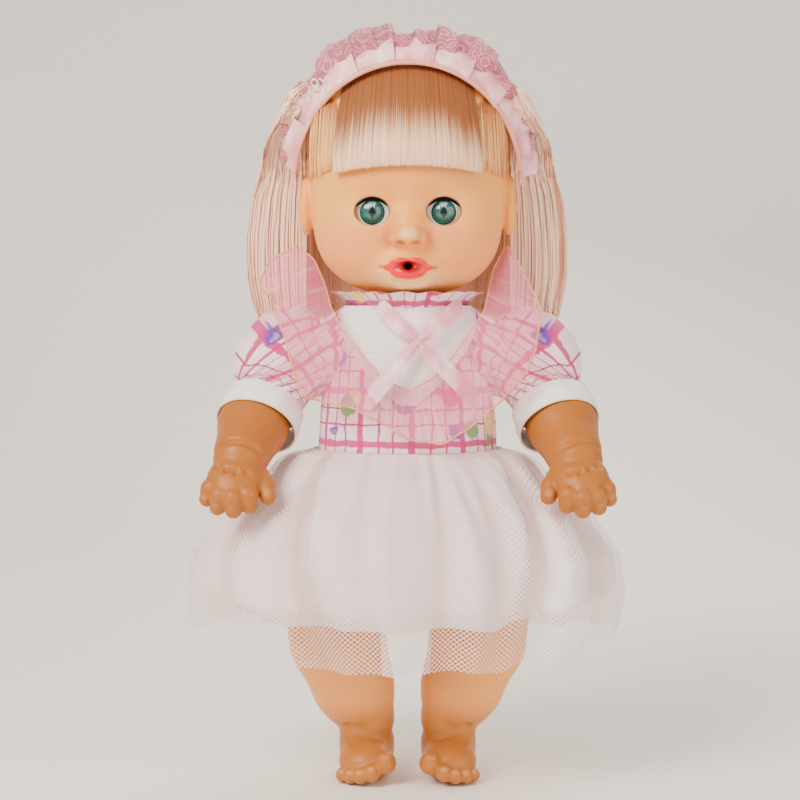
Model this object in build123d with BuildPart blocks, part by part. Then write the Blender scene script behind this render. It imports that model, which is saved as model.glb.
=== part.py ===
from build123d import *
import math
import os

# Interactive baby doll with sleep eyes, rooted hair, a headband and a dress.
# Millimetres. +Z is up, the doll faces -Y and its own left side is +X.
# The origin is on the floor, under the middle of the skirt.

os.makedirs("parts", exist_ok=True)

SIDES = ((1, "left"), (-1, "right"))

# Body
BODY_Y = 7.0  # the spine stands this far behind the middle of the skirt
WALL = 2.4  # moulded shells
RUN = 0.06  # running clearance of a turning fit
GAP = 0.3  # between things that only pass each other

# Head: a ball of revolution, taller than wide
HEAD_Y = BODY_Y + 2.0
HEAD_Z = 311.0
HEAD_RADIUS = 51.5
HEAD_HALF_HEIGHT = 61.0
HAIR_THICK = 4.5
EAR_RADIUS = 15.0
EAR_Z = 299.0
NOSE_RADIUS = 7.0
NOSE_Z = 281.0
LIPS_RADIUS = 9.0

# Neck
NECK_RADIUS = 18.0
NECK_BORE = 15.5
SHOULDER_TOP = 250.0  # the torso's top, which the head stands on
NECK_FLOOR = 8.0  # the head's thick floor round the neck
NECK_TOP = SHOULDER_TOP + NECK_FLOOR + 0.1
RING_RADIUS = 20.5
RING_THICK = 2.5

# Sleep eyes
EYE_X = 17.8
EYE_Y = HEAD_Y - 32.8
EYE_Z = 293.0
BALL_RADIUS = 10.5
BALL_WALL = 1.5
SOCKET_RADIUS = 10.9
SOCKET_WALL = 1.6
IRIS_RADIUS = 6.4
PIN_RADIUS = 1.2
LID_OPEN_WIDTH = 17.0
LID_OPEN_HEIGHT = 14.4
LASH_THICK = 0.32
LASH_HALF_WIDTH = 8.0
LASH_LOW = 26.0  # degrees above straight ahead
LASH_HIGH = 37.0
WEIGHT_LEAN = 35.0  # degrees behind straight down
WEIGHT_FACE = 4.2  # from the ball's middle to the weight's flat face

# Mouth
MOUTH_Z = 265.0
MOUTH_BORE = 2.5
MOUTH_WALL = 1.5
MOUTH_LENGTH = 20.0

# Torso
CROTCH_Z = 106.0
SHOULDER_Z = 222.0
SHOULDER_X = 33.0  # the flat face that an arm turns on
SHOULDER_RADIUS = 15.5
ARM_PEG = 7.0
ARM_FLANGE = 9.0
HIP_Z = 128.0
HIP_X = 22.0
HIP_RADIUS = 26.0
LEG_PEG = 9.0
LEG_FLANGE = 13.0
FLANGE_THICK = 2.4

# Electronics
BOX_Z = 184.0
BOX_WIDTH = 37.0
BOX_HEIGHT = 52.0
BOX_FRONT = BODY_Y + 10.0
BOX_WALL = 1.5
CELL_RADIUS = 5.25
CELL_LENGTH = 44.5
CELL_PITCH = 11.0
DOOR_WIDTH = 33.0
DOOR_HEIGHT = 48.0
BUTTON_Z = 162.0
BUTTON_RADIUS = 7.0
BUTTON_TRAVEL = 1.2
SPEAKER_Z = 196.0
SPEAKER_RADIUS = 18.0
SWITCH_Z = 146.0
BOARD_WIDTH = 34.0
BOARD_HEIGHT = 46.0
BOARD_THICK = 1.6
WIRE_RADIUS = 0.6
SCREW_POST = 4.0
SCREW_HOLE = 1.25
SCREW_HEAD = 2.7

# Dress
WAIST_Z = 172.0
LINING_HEM = 90.0
TULLE_HEM = 70.0
SKIRT_HALF_WIDTH = 115.0
SKIRT_HALF_DEPTH = 86.0
LINING_INSET = 4.0  # the lining hangs this far inside the skirt's outline
TULLE_INSET = 1.4
CLOTH = 1.2
ARMHOLE = 20.0
SLEEVE_RADIUS = 27.0
SLEEVE_X = 67.0
SLEEVE_START = 49.5
CUFF_RADIUS = 23.0
CUFF_LENGTH = 12.0

# Headband
BAND_TILT = 24.0  # degrees forward of upright
BAND_INNER_X = 57.6
BAND_INNER_UP = 64.5
BAND_WIDTH = 13.0
BAND_THICK = 1.6
RIBBON_TOP = 4.0  # the pleats stand this far off the band's inside
LACE_TOP = 15.5
LACE_WIDTH = 4.0


def write(piece, name):
    """Label one finished piece and write its file."""
    piece.label = name
    export_step(piece, f"parts/{name}.step")


def write_pair(piece, name, built_on):
    """Write one limb or garment part for the side it was built on, and its mirror image for the other."""
    other_side = "right" if built_on == "left" else "left"
    write(piece, f"{name}_{built_on}")
    write(mirror(piece, about=Plane.YZ), f"{name}_{other_side}")


def facing_front(y, z=0.0, x=0.0):
    """An upright plane seen from the front: right is +X, up is +Z, and it extrudes forwards."""
    return Plane(origin=(x, y, z), x_dir=(1, 0, 0), z_dir=(0, -1, 0))


def ball_of_revolution(radius, half_height, center):
    """A closed ellipsoid, round seen from above."""
    with BuildPart(Plane(origin=center)) as form:
        with BuildSketch(facing_front(center[1], center[2], center[0])):
            Ellipse(radius, half_height)
            Rectangle(radius, 2 * half_height, align=(Align.MAX, Align.CENTER), mode=Mode.SUBTRACT)
        revolve(axis=Axis(center, (0, 0, 1)))
    return form.part


def head_form(grow):
    """The head's outer form, grown all round by some millimetres."""
    return ball_of_revolution(HEAD_RADIUS + grow, HEAD_HALF_HEIGHT + grow, (0, HEAD_Y, HEAD_Z))


def limb(stations, shrink=0.0):
    """A row of balls joined by cones; each station is a point and a radius."""
    with BuildPart() as form:
        for (start, start_radius), (end, end_radius) in zip(stations, stations[1:]):
            run = Vector(*end) - Vector(*start)
            with Locations(Plane(origin=start, z_dir=run)):
                Cone(
                    start_radius - shrink,
                    end_radius - shrink,
                    run.length,
                    align=(Align.CENTER, Align.CENTER, Align.MIN),
                )
        for center, radius in stations:
            with Locations(center):
                Sphere(radius - shrink)
    return form.part


def barrel(stations, grow_x=0.0, grow_y=0.0):
    """A smooth upright form through ellipses; each is height, half width, half depth, middle."""
    with BuildPart() as form:
        for height, half_width, half_depth, middle in stations:
            with BuildSketch(Plane((0, middle, height))):
                Ellipse(half_width + grow_x, half_depth + grow_y)
        loft()
    return form.part


def disc_along_x(radius, start, end, y, z):
    """A round bar lying side to side."""
    low, high = sorted((start, end))
    with BuildPart() as bar:
        with BuildSketch(Plane(origin=(low, y, z), z_dir=(1, 0, 0))):
            Circle(radius)
        extrude(amount=high - low)
    return bar.part


def front_prism(outline, depth=90.0):
    """A prism from the spine out to the front, whose outline is given as side-to-side and height."""
    with BuildPart() as prism:
        with BuildSketch(facing_front(BODY_Y)):
            with BuildLine():
                Polyline(*outline, close=True)
            make_face()
        extrude(amount=depth)
    return prism.part


# ---------------------------------------------------------------- head
def make_head():
    """Hollow vinyl head with ears, nose, eye openings, mouth hole and neck hole."""
    with BuildPart() as head_shell:
        add(head_form(0))
        for side, _ in SIDES:
            with Locations((side * (HEAD_RADIUS - 1.0), HEAD_Y - 3.0, EAR_Z)):
                Cylinder(EAR_RADIUS, 6.0, rotation=(0, 90, 0))
        with Locations((0, HEAD_Y - 46.5, NOSE_Z)):
            Sphere(NOSE_RADIUS)
        with Locations((0, HEAD_Y - 38.0, MOUTH_Z)):
            Sphere(LIPS_RADIUS)
        add(head_form(-WALL), mode=Mode.SUBTRACT)
        with Locations((0, BODY_Y, SHOULDER_TOP + NECK_FLOOR / 2)):
            Cylinder(RING_RADIUS + 1.0, NECK_FLOOR)
        with Locations((0, BODY_Y, SHOULDER_TOP)):
            Cylinder(NECK_RADIUS + RUN, 3 * NECK_FLOOR, mode=Mode.SUBTRACT)
        with Locations((0, BODY_Y, SHOULDER_TOP + NECK_FLOOR + 2.0)):
            Cylinder(RING_RADIUS + GAP, 4.0, mode=Mode.SUBTRACT)
        with Locations((0, BODY_Y, SHOULDER_TOP - 10.0)):
            Cylinder(60.0, 20.0, mode=Mode.SUBTRACT)
        for side, _ in SIDES:
            add(eye_opening(side), mode=Mode.SUBTRACT)
            with Locations((side * EYE_X, EYE_Y, EYE_Z)):
                Sphere(SOCKET_RADIUS, mode=Mode.SUBTRACT)
        with BuildSketch(facing_front(HEAD_Y - 25.0, MOUTH_Z)):
            Circle(MOUTH_BORE + MOUTH_WALL)
        extrude(amount=40.0, mode=Mode.SUBTRACT)
    write(head_shell.part, "head_shell")


def eye_opening(side):
    """The prism that cuts one almond-shaped eye opening, from the eye's middle outwards."""
    with BuildPart() as opening:
        with BuildSketch(facing_front(EYE_Y, EYE_Z, side * EYE_X)):
            Ellipse(LID_OPEN_WIDTH / 2, LID_OPEN_HEIGHT / 2)
        extrude(amount=40.0)
    return opening.part


def make_mouth_tube():
    """Short tube behind the lips, for the teat of a bottle or a dummy."""
    with BuildPart() as mouth_tube:
        with BuildSketch(facing_front(HEAD_Y - 44.0 + MOUTH_LENGTH, MOUTH_Z)):
            Circle(MOUTH_BORE + MOUTH_WALL)
        extrude(amount=MOUTH_LENGTH)
        with BuildSketch(facing_front(HEAD_Y - 43.0 + MOUTH_LENGTH - WALL, MOUTH_Z)):
            Circle(MOUTH_BORE)
        extrude(amount=MOUTH_LENGTH, mode=Mode.SUBTRACT)
    write(mouth_tube.part, "mouth_tube")


def make_neck_ring():
    """Flat ring glued on the neck tube, which keeps the head on."""
    with BuildPart() as neck_ring:
        with BuildSketch(Plane.XY.offset(NECK_TOP)):
            with Locations((0, BODY_Y)):
                Circle(RING_RADIUS)
                Circle(NECK_BORE, mode=Mode.SUBTRACT)
        extrude(amount=RING_THICK)
    write(neck_ring.part, "neck_ring")


# ---------------------------------------------------------------- sleep eyes
def make_eye(side, name):
    """One sleep eye: housing, hollow ball with pins, iris lens, lash strip and weight."""
    center = (side * EYE_X, EYE_Y, EYE_Z)
    ahead = facing_front(EYE_Y, EYE_Z, side * EYE_X)

    with BuildPart() as housing:
        with Locations(center):
            Sphere(SOCKET_RADIUS + SOCKET_WALL)
            Sphere(SOCKET_RADIUS, mode=Mode.SUBTRACT)
        add(eye_opening(side), mode=Mode.SUBTRACT)
        add(head_form(-WALL), mode=Mode.INTERSECT)
        with Locations(center):
            Cylinder(PIN_RADIUS + RUN, 40.0, rotation=(0, 90, 0), mode=Mode.SUBTRACT)
    write(housing.part, f"eye_housing_{name}")

    with BuildPart() as eyeball:
        with Locations(center):
            Sphere(BALL_RADIUS)
            Cylinder(PIN_RADIUS, 2 * (SOCKET_RADIUS + SOCKET_WALL) - 0.4, rotation=(0, 90, 0))
            Sphere(BALL_RADIUS - BALL_WALL, mode=Mode.SUBTRACT)
        with BuildSketch(ahead):
            Circle(IRIS_RADIUS)
        extrude(amount=20.0, mode=Mode.SUBTRACT)
    write(eyeball.part, f"eyeball_{name}")

    with BuildPart() as lens:
        with Locations(center):
            Sphere(BALL_RADIUS)
            Sphere(BALL_RADIUS - BALL_WALL, mode=Mode.SUBTRACT)
        with BuildSketch(ahead):
            Circle(IRIS_RADIUS)
        extrude(amount=20.0, mode=Mode.INTERSECT)
    write(lens.part, f"iris_lens_{name}")

    with BuildPart() as lash:
        with BuildSketch(Plane(origin=center, z_dir=(1, 0, 0), x_dir=(0, -1, 0)).offset(-LASH_HALF_WIDTH)):
            with BuildLine():
                reach = 2 * BALL_RADIUS
                low, high = math.radians(-LASH_LOW), math.radians(-LASH_HIGH)
                Polyline(
                    (0, 0),
                    (reach * math.cos(low), reach * math.sin(low)),
                    (reach * math.cos(high), reach * math.sin(high)),
                    close=True,
                )
            make_face()
        extrude(amount=2 * LASH_HALF_WIDTH)
        with Locations(center):
            Sphere(BALL_RADIUS + LASH_THICK, mode=Mode.INTERSECT)
            Sphere(BALL_RADIUS, mode=Mode.SUBTRACT)
    write(lash.part, f"eyelash_{name}")

    lean = math.radians(WEIGHT_LEAN)
    weight_plane = Plane(origin=center, z_dir=(0, math.sin(lean), -math.cos(lean)))
    with BuildPart() as weight:
        with Locations(center):
            Sphere(BALL_RADIUS - BALL_WALL)
        split(bisect_by=weight_plane.offset(WEIGHT_FACE), keep=Keep.TOP)
    write(weight.part, f"eye_weight_{name}")


# ---------------------------------------------------------------- hair
FRINGE_HALF_WIDTH = 36.0
FRINGE_LOW = 313.0
FRINGE_HIGH = 352.0
FALL = (  # height, half width and half depth of the long hair's outside
    (252.0, 79.0, 62.0),
    (275.0, 85.0, 66.0),
    (305.0, 83.0, 68.0),
    (335.0, 70.0, 62.0),
    (352.0, 54.0, 50.0),
)
FALL_THICK = 7.0


def make_hair():
    """Rooted hair as three plain soft forms: crown, fringe and long fall."""
    with BuildPart() as crown:
        add(head_form(HAIR_THICK))
        add(head_form(0), mode=Mode.SUBTRACT)
        hairline = Plane(origin=(0, HEAD_Y - 46.0, 354.0), z_dir=(0, 0.6, 0.8))
        split(bisect_by=hairline, keep=Keep.TOP)
        with Locations((0, HEAD_Y - 40.0, 280.0)):
            Box(140.0, 110.0, 84.0, mode=Mode.SUBTRACT)
        with Locations((0, HEAD_Y, 255.0)):
            Box(140.0, 140.0, 22.0, mode=Mode.SUBTRACT)
    write(crown.part, "hair_crown")

    with BuildPart() as fringe:
        add(head_form(HAIR_THICK - 1.0))
        add(head_form(0), mode=Mode.SUBTRACT)
        low, high = FRINGE_HALF_WIDTH, FRINGE_HALF_WIDTH - 6.0
        outline = [(-low, FRINGE_LOW), (-high, FRINGE_HIGH), (high, FRINGE_HIGH), (low, FRINGE_LOW)]
        add(front_prism(outline), mode=Mode.INTERSECT)
        with Locations((0, HEAD_Y + 30.0, 340.0)):
            Box(140.0, 90.0, 120.0, mode=Mode.SUBTRACT)
        add(crown.part, mode=Mode.SUBTRACT)
    write(fringe.part, "hair_fringe")

    outside = [(z, wide, deep, HEAD_Y + 2.0) for z, wide, deep in FALL]
    with BuildPart() as fall:
        add(barrel(outside))
        add(barrel(outside, -FALL_THICK, -FALL_THICK), mode=Mode.SUBTRACT)
        add(head_form(HAIR_THICK), mode=Mode.SUBTRACT)
        with Locations((0, HEAD_Y + 12.0 - 100.0, 300.0)):
            Box(240.0, 200.0, 140.0, mode=Mode.SUBTRACT)
    write(fall.part, "hair_fall")


# ---------------------------------------------------------------- headband
def make_headband():
    """U-shaped band over the hair, its pleated ribbon and the lace ruffle behind it."""
    tilt = math.radians(BAND_TILT)
    plane = Plane(
        origin=(0, HEAD_Y - 2.0, HEAD_Z),
        x_dir=(1, 0, 0),
        z_dir=(0, -math.cos(tilt), -math.sin(tilt)),
    )
    layers = (
        ("headband_core", 0.0, BAND_THICK, -BAND_WIDTH / 2, BAND_WIDTH),
        ("headband_ribbon", BAND_THICK, RIBBON_TOP, -BAND_WIDTH / 2 - 1.0, BAND_WIDTH + 2.0),
        ("headband_lace", RIBBON_TOP, LACE_TOP, -BAND_WIDTH / 2 - 1.0, LACE_WIDTH),
    )
    for name, low, high, start, width in layers:
        with BuildPart() as layer:
            with BuildSketch(plane.offset(start)):
                Ellipse(BAND_INNER_X + high, BAND_INNER_UP + high)
                Ellipse(BAND_INNER_X + low, BAND_INNER_UP + low, mode=Mode.SUBTRACT)
                with Locations((0, -60.0)):
                    Rectangle(200.0, 120.0, mode=Mode.SUBTRACT)
            extrude(amount=width)
        write(layer.part, name)


# ---------------------------------------------------------------- torso
TORSO = (
    (CROTCH_Z, 12.0, 16.0, BODY_Y),
    (116.0, 24.0, 25.0, BODY_Y),
    (140.0, 35.0, 30.0, BODY_Y),
    (172.0, 37.0, 31.0, BODY_Y),
    (205.0, 37.0, 30.0, BODY_Y),
    (230.0, 34.0, 26.0, BODY_Y),
    (244.0, 27.0, 22.0, BODY_Y),
    (SHOULDER_TOP, 24.0, 20.0, BODY_Y),
)
SCREW_PLACES = ((22.5, 207.0), (-22.5, 207.0), (24.0, 160.0), (-24.0, 160.0))


def torso_solid(inward):
    """The torso's form with flat faces for the limbs, pulled inward by some millimetres."""
    with BuildPart() as form:
        add(barrel(TORSO, -inward, -inward))
        for side, _ in SIDES:
            for x, radius, z in ((SHOULDER_X, SHOULDER_RADIUS, SHOULDER_Z), (HIP_X, HIP_RADIUS, HIP_Z)):
                pocket = disc_along_x(radius + inward, side * (x - inward), side * 90.0, BODY_Y, z)
                add(pocket, mode=Mode.SUBTRACT)
        with Locations((0, BODY_Y, (CROTCH_Z + SHOULDER_TOP) / 2)):
            Box(100.0, 100.0, SHOULDER_TOP - CROTCH_Z - 2 * inward, mode=Mode.INTERSECT)
    return form.part


def make_torso():
    """Front and back shells, with neck tube, limb holes, screw posts, grille, button and door holes."""
    whole = torso_solid(0)
    hollow = torso_solid(WALL)
    front_half = facing_front(BODY_Y)

    with BuildPart() as shell:
        add(whole)
        add(hollow, mode=Mode.SUBTRACT)
        for side, _ in SIDES:
            shoulder = disc_along_x(ARM_PEG + RUN, side * 20.0, side * 40.0, BODY_Y, SHOULDER_Z)
            hip = disc_along_x(LEG_PEG + RUN, side * 16.0, side * 30.0, BODY_Y, HIP_Z)
            add(shoulder, mode=Mode.SUBTRACT)
            add(hip, mode=Mode.SUBTRACT)

    with BuildPart() as torso_front:
        add(shell.part)
        split(bisect_by=front_half, keep=Keep.TOP)
        with BuildSketch(front_half):
            with Locations(*SCREW_PLACES):
                Circle(SCREW_POST)
        extrude(amount=40.0)
        add(whole, mode=Mode.INTERSECT)
        with Locations((0, BODY_Y, SHOULDER_TOP)):
            Cylinder(NECK_RADIUS, NECK_TOP - SHOULDER_TOP, align=(Align.CENTER, Align.CENTER, Align.MIN))
            Cylinder(NECK_BORE, 40.0, mode=Mode.SUBTRACT)
        split(bisect_by=front_half, keep=Keep.TOP)
        with BuildSketch(front_half):
            with Locations(*SCREW_PLACES):
                Circle(SCREW_HOLE)
        extrude(amount=10.0, mode=Mode.SUBTRACT)
        with BuildSketch(front_half):
            with Locations((0, BUTTON_Z)):
                Circle(BUTTON_RADIUS + GAP)
            with Locations((0, SPEAKER_Z)):
                Circle(1.2)
                for ring in (5.0, 9.5):
                    with PolarLocations(ring, int(ring * 1.3)):
                        Circle(1.2)
        extrude(amount=60.0, mode=Mode.SUBTRACT)
    write(torso_front.part, "torso_front")

    with BuildPart() as torso_back:
        add(shell.part)
        split(bisect_by=front_half, keep=Keep.BOTTOM)
        with BuildSketch(front_half):
            with Locations(*SCREW_PLACES):
                Circle(SCREW_POST)
        extrude(amount=-26.0)
        add(whole, mode=Mode.INTERSECT)
        with BuildSketch(front_half):
            with Locations(*SCREW_PLACES):
                Circle(SCREW_HOLE)
        extrude(amount=-60.0, mode=Mode.SUBTRACT)
        with BuildSketch(front_half.offset(-12.0)):
            with Locations(*SCREW_PLACES):
                Circle(2.9)
        extrude(amount=-60.0, mode=Mode.SUBTRACT)
        with BuildSketch(front_half):
            with Locations((0, BOX_Z)):
                Rectangle(DOOR_WIDTH, DOOR_HEIGHT)
            with Locations((0, SWITCH_Z)):
                Rectangle(5.0, 9.0)
        extrude(amount=-60.0, mode=Mode.SUBTRACT)
        with Locations((0, BODY_Y, SHOULDER_TOP)):
            Cylinder(NECK_RADIUS, NECK_TOP - SHOULDER_TOP, align=(Align.CENTER, Align.CENTER, Align.MIN))
            Cylinder(NECK_BORE, 40.0, mode=Mode.SUBTRACT)
        split(bisect_by=front_half, keep=Keep.BOTTOM)
    write(torso_back.part, "torso_back")

    with BuildPart() as screws:
        for x, z in SCREW_PLACES:
            with BuildSketch(facing_front(BODY_Y - 9.5, z, x)):
                Circle(1.2)
            extrude(amount=-21.5)
            with BuildSketch(facing_front(BODY_Y + 12.0, z, x)):
                Circle(SCREW_HEAD)
                Rectangle(3.4, 0.6, mode=Mode.SUBTRACT)
            extrude(amount=-1.8)
    write(screws.part, "case_screws")
    return whole, hollow


# ---------------------------------------------------------------- electronics
def make_electronics(whole, hollow):
    """Battery box with cells and door, loudspeaker, board, tummy button and slide switch."""
    front = facing_front(BOX_FRONT, BOX_Z)
    depth = 30.0

    with BuildPart() as battery_box:
        with BuildSketch(front):
            Rectangle(BOX_WIDTH, BOX_HEIGHT)
        extrude(amount=-depth)
        with BuildSketch(front.offset(-BOX_WALL)):
            Rectangle(BOX_WIDTH - 2 * BOX_WALL, BOX_HEIGHT - 2 * BOX_WALL)
        extrude(amount=-depth, mode=Mode.SUBTRACT)
        add(hollow, mode=Mode.INTERSECT)
    write(battery_box.part, "battery_box")

    with BuildPart() as cells:
        with BuildSketch(Plane.XY.offset(BOX_Z - CELL_LENGTH / 2)):
            with Locations((0, BOX_FRONT + BOX_WALL + CELL_RADIUS)):
                with GridLocations(CELL_PITCH, 0, 3, 1):
                    Circle(CELL_RADIUS)
        extrude(amount=CELL_LENGTH)
    write(cells.part, "battery_cells")

    with BuildPart() as contacts:
        low = BOX_Z - BOX_HEIGHT / 2 + BOX_WALL
        slack = (BOX_HEIGHT - 2 * BOX_WALL - CELL_LENGTH) / 2
        for base in (low, BOX_Z + CELL_LENGTH / 2):
            with BuildSketch(Plane.XY.offset(base)):
                with Locations((0, BOX_FRONT + BOX_WALL + CELL_RADIUS)):
                    with GridLocations(CELL_PITCH, 0, 3, 1):
                        Circle(3.2)
                        Circle(2.4, mode=Mode.SUBTRACT)
            extrude(amount=slack)
    write(contacts.part, "battery_contacts")

    with BuildPart() as door:
        add(whole)
        add(hollow, mode=Mode.SUBTRACT)
        with BuildSketch(facing_front(BODY_Y, BOX_Z)):
            Rectangle(DOOR_WIDTH - 2 * GAP, DOOR_HEIGHT - 2 * GAP)
        extrude(amount=-60.0, mode=Mode.INTERSECT)
        with BuildSketch(facing_front(BODY_Y, BOX_Z + DOOR_HEIGHT / 2 - 5.0)):
            Circle(1.3)
        extrude(amount=-60.0, mode=Mode.SUBTRACT)
    write(door.part, "battery_door")

    with BuildPart() as door_screw:
        screw_z = BOX_Z + DOOR_HEIGHT / 2 - 5.0
        with BuildSketch(facing_front(BODY_Y + 24.6, screw_z)):
            Circle(1.24)
        extrude(amount=-6.0)
        with BuildSketch(facing_front(BODY_Y + 30.6, screw_z)):
            Circle(2.4)
            Rectangle(3.0, 0.5, mode=Mode.SUBTRACT)
        extrude(amount=-1.4)
    write(door_screw.part, "door_screw")

    with BuildPart() as speaker:
        with BuildSketch(facing_front(BODY_Y - 24.4, SPEAKER_Z)):
            Circle(SPEAKER_RADIUS)
        extrude(amount=-4.4)
        with BuildSketch(facing_front(BODY_Y - 20.0, SPEAKER_Z)):
            Circle(SPEAKER_RADIUS - 2.0)
        with BuildSketch(facing_front(BODY_Y - 14.0, SPEAKER_Z)):
            Circle(8.0)
        loft()
        with BuildSketch(facing_front(BODY_Y - 14.0, SPEAKER_Z)):
            Circle(9.0)
        extrude(amount=-4.0)
        add(hollow, mode=Mode.INTERSECT)
    write(speaker.part, "loudspeaker")

    with BuildPart() as board:
        with BuildSketch(facing_front(BOX_FRONT - 5.0, BOX_Z)):
            Rectangle(BOARD_WIDTH, BOARD_HEIGHT)
        extrude(amount=-BOARD_THICK)
        with BuildSketch(facing_front(BOX_FRONT - 3.4, BOX_Z)):
            with GridLocations(BOARD_WIDTH - 8.0, BOARD_HEIGHT - 8.0, 2, 2):
                Circle(2.0)
        extrude(amount=-3.4)
        with BuildSketch(facing_front(BOX_FRONT - 5.0, BOX_Z + 8.0)):
            Rectangle(9.0, 9.0)
            with Locations((10.0, -4.0), (-10.0, -4.0)):
                Circle(2.5)
        extrude(amount=2.2)
    write(board.part, "circuit_board")

    switch_front = BODY_Y - 20.0
    with BuildPart() as push_switch:
        with BuildSketch(facing_front(switch_front, BUTTON_Z)):
            Rectangle(6.0, 6.0)
        extrude(amount=-(BOX_FRONT - 5.0 - switch_front))
        with BuildSketch(facing_front(switch_front, BUTTON_Z)):
            Circle(1.7)
        extrude(amount=1.4)
    write(push_switch.part, "push_switch")

    button_back = BODY_Y - 26.4
    with BuildPart() as button:
        with BuildSketch(facing_front(button_back, BUTTON_Z)):
            Circle(BUTTON_RADIUS)
        extrude(amount=5.6)
        with BuildSketch(facing_front(button_back, BUTTON_Z)):
            Circle(BUTTON_RADIUS + 2.0)
        extrude(amount=-1.2)
        with BuildSketch(facing_front(button_back, BUTTON_Z)):
            Circle(2.4)
        extrude(amount=button_back - (switch_front - 1.4) + BUTTON_TRAVEL + 0.1)
    write(button.part, "tummy_button")

    with BuildPart() as slider:
        with BuildSketch(facing_front(BODY_Y + 25.0, SWITCH_Z - 1.5)):
            Rectangle(8.0, 12.5)
        extrude(amount=-1.6)
        with BuildSketch(facing_front(BODY_Y + 26.6, SWITCH_Z - 1.5)):
            Rectangle(4.6, 5.0)
        extrude(amount=-4.6)
    write(slider.part, "power_slider")

    with BuildPart() as switch_body:
        with BuildSketch(facing_front(BODY_Y + 18.0, SWITCH_Z)):
            Rectangle(8.0, 24.0)
        extrude(amount=-6.9)
    write(switch_body.part, "power_switch")

    routes = (
        ("battery_wires", 12.0, (BOX_FRONT - 0.8, BOX_Z - 24.0), (BODY_Y + 17.2, SWITCH_Z + 6.0)),
        ("speaker_wires", 6.0, (BODY_Y - 9.3, SPEAKER_Z - 4.0), (BOX_FRONT - 5.8, BOX_Z - 14.0)),
    )
    for name, spread, start, end in routes:
        with BuildPart() as wires:
            for side, _ in SIDES:
                x = side * spread / 2
                with BuildLine() as route:
                    FilletPolyline(
                        (x, *start),
                        (x, start[0], start[1] - 0.45 * (start[1] - end[1])),
                        (x, end[0], end[1] + 0.45 * (start[1] - end[1])),
                        (x, *end),
                        radius=1.2,
                    )
                with BuildSketch(Plane(origin=(x, *start), z_dir=route.line % 0)):
                    Circle(WIRE_RADIUS)
                sweep(path=route.line)
        write(wires.part, name)


# ---------------------------------------------------------------- limbs
FINGER_PITCH = 5.6
FIRST_TOE = 4.8  # radius; each next toe is smaller
TOE_STEP = 0.45
TOE_PITCH = 5.0
ARM_PATH = (
    ((47.0, BODY_Y, SHOULDER_Z), 13.0),
    ((76.0, BODY_Y - 4.0, 194.0), 15.5),
    ((82.0, BODY_Y - 26.0, 177.0), 15.0),
    ((84.0, BODY_Y - 43.0, 166.0), 11.5),
)


def make_arms():
    """Hollow vinyl arms: peg and flange in the shoulder, bent elbow, hand with five fingers."""
    palm_center, palm_radius = (87.0, BODY_Y - 55.0, 157.0), 11.0
    with BuildPart() as arm:
        add(limb(ARM_PATH))
        add(limb((ARM_PATH[-1], (palm_center, palm_radius))))
        for index in range(4):
            spread = (index - 1.5) * FINGER_PITCH
            root = (palm_center[0] + spread, palm_center[1] - 2.0, palm_center[2] - 1.0 - abs(spread) * 0.2)
            middle = (root[0] + spread * 0.18, root[1] - 9.0, root[2] - 6.0)
            tip = (middle[0], middle[1] - 5.0, middle[2] - 7.0)
            add(limb(((root, 4.2), (middle, 3.7), (tip, 3.2))))
        thumb = (palm_center[0] - 9.0, palm_center[1] + 2.0, palm_center[2] - 2.0)
        thumb_tip = (thumb[0] - 6.0, thumb[1] - 9.0, thumb[2] - 3.0)
        add(limb(((thumb, 4.4), (thumb_tip, 3.7))))
        add(limb(ARM_PATH[:3], WALL), mode=Mode.SUBTRACT)
        face = SHOULDER_X + 0.1
        add(disc_along_x(30.0, 0.0, face, BODY_Y, SHOULDER_Z), mode=Mode.SUBTRACT)
        add(disc_along_x(SHOULDER_RADIUS - 3.0, face, 38.0, BODY_Y, SHOULDER_Z))
        inner = SHOULDER_X - WALL - 0.1
        add(disc_along_x(ARM_PEG, inner - FLANGE_THICK, 36.0, BODY_Y, SHOULDER_Z))
        add(disc_along_x(ARM_FLANGE, inner - FLANGE_THICK, inner, BODY_Y, SHOULDER_Z))
    write_pair(arm.part, "arm", "left")


def make_legs():
    """Hollow vinyl legs: peg and flange in the hip, chubby thigh and calf, flat foot with toes."""
    path = (
        ((-40.0, BODY_Y, HIP_Z), 22.0),
        ((-39.0, BODY_Y - 1.0, 100.0), 24.0),
        ((-35.0, BODY_Y - 1.0, 72.0), 23.5),
        ((-25.0, BODY_Y + 4.0, 36.0), 14.0),
    )
    foot = (
        (0.0, 13.0, 24.0, BODY_Y - 5.0),
        (6.0, 14.5, 25.0, BODY_Y - 5.0),
        (14.0, 13.5, 21.0, BODY_Y - 2.0),
        (26.0, 12.5, 13.0, BODY_Y + 3.0),
        (36.0, 12.0, 12.0, BODY_Y + 4.0),
    )
    with BuildPart() as leg:
        add(limb(path))
        for height, half_width, half_length, middle in foot:
            with BuildSketch(Plane((-21.0 - height * 0.1, middle, height))):
                Ellipse(half_width, half_length)
        loft()
        for index in range(5):
            radius = FIRST_TOE - index * TOE_STEP
            with Locations((-12.0 - index * TOE_PITCH, BODY_Y - 27.0 + (index - 1) ** 2 * 0.55, radius)):
                Sphere(radius)
        add(limb(path[:3], WALL), mode=Mode.SUBTRACT)
        face = HIP_X + 0.1
        add(disc_along_x(40.0, -face, 0.0, BODY_Y, HIP_Z), mode=Mode.SUBTRACT)
        add(disc_along_x(HIP_RADIUS - 7.0, -26.0, -face, BODY_Y, HIP_Z))
        inner = HIP_X - WALL - 0.1
        add(disc_along_x(LEG_PEG, -25.0, FLANGE_THICK - inner, BODY_Y, HIP_Z))
        add(disc_along_x(LEG_FLANGE, -inner, FLANGE_THICK - inner, BODY_Y, HIP_Z))
    write_pair(leg.part, "leg", "right")


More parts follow.
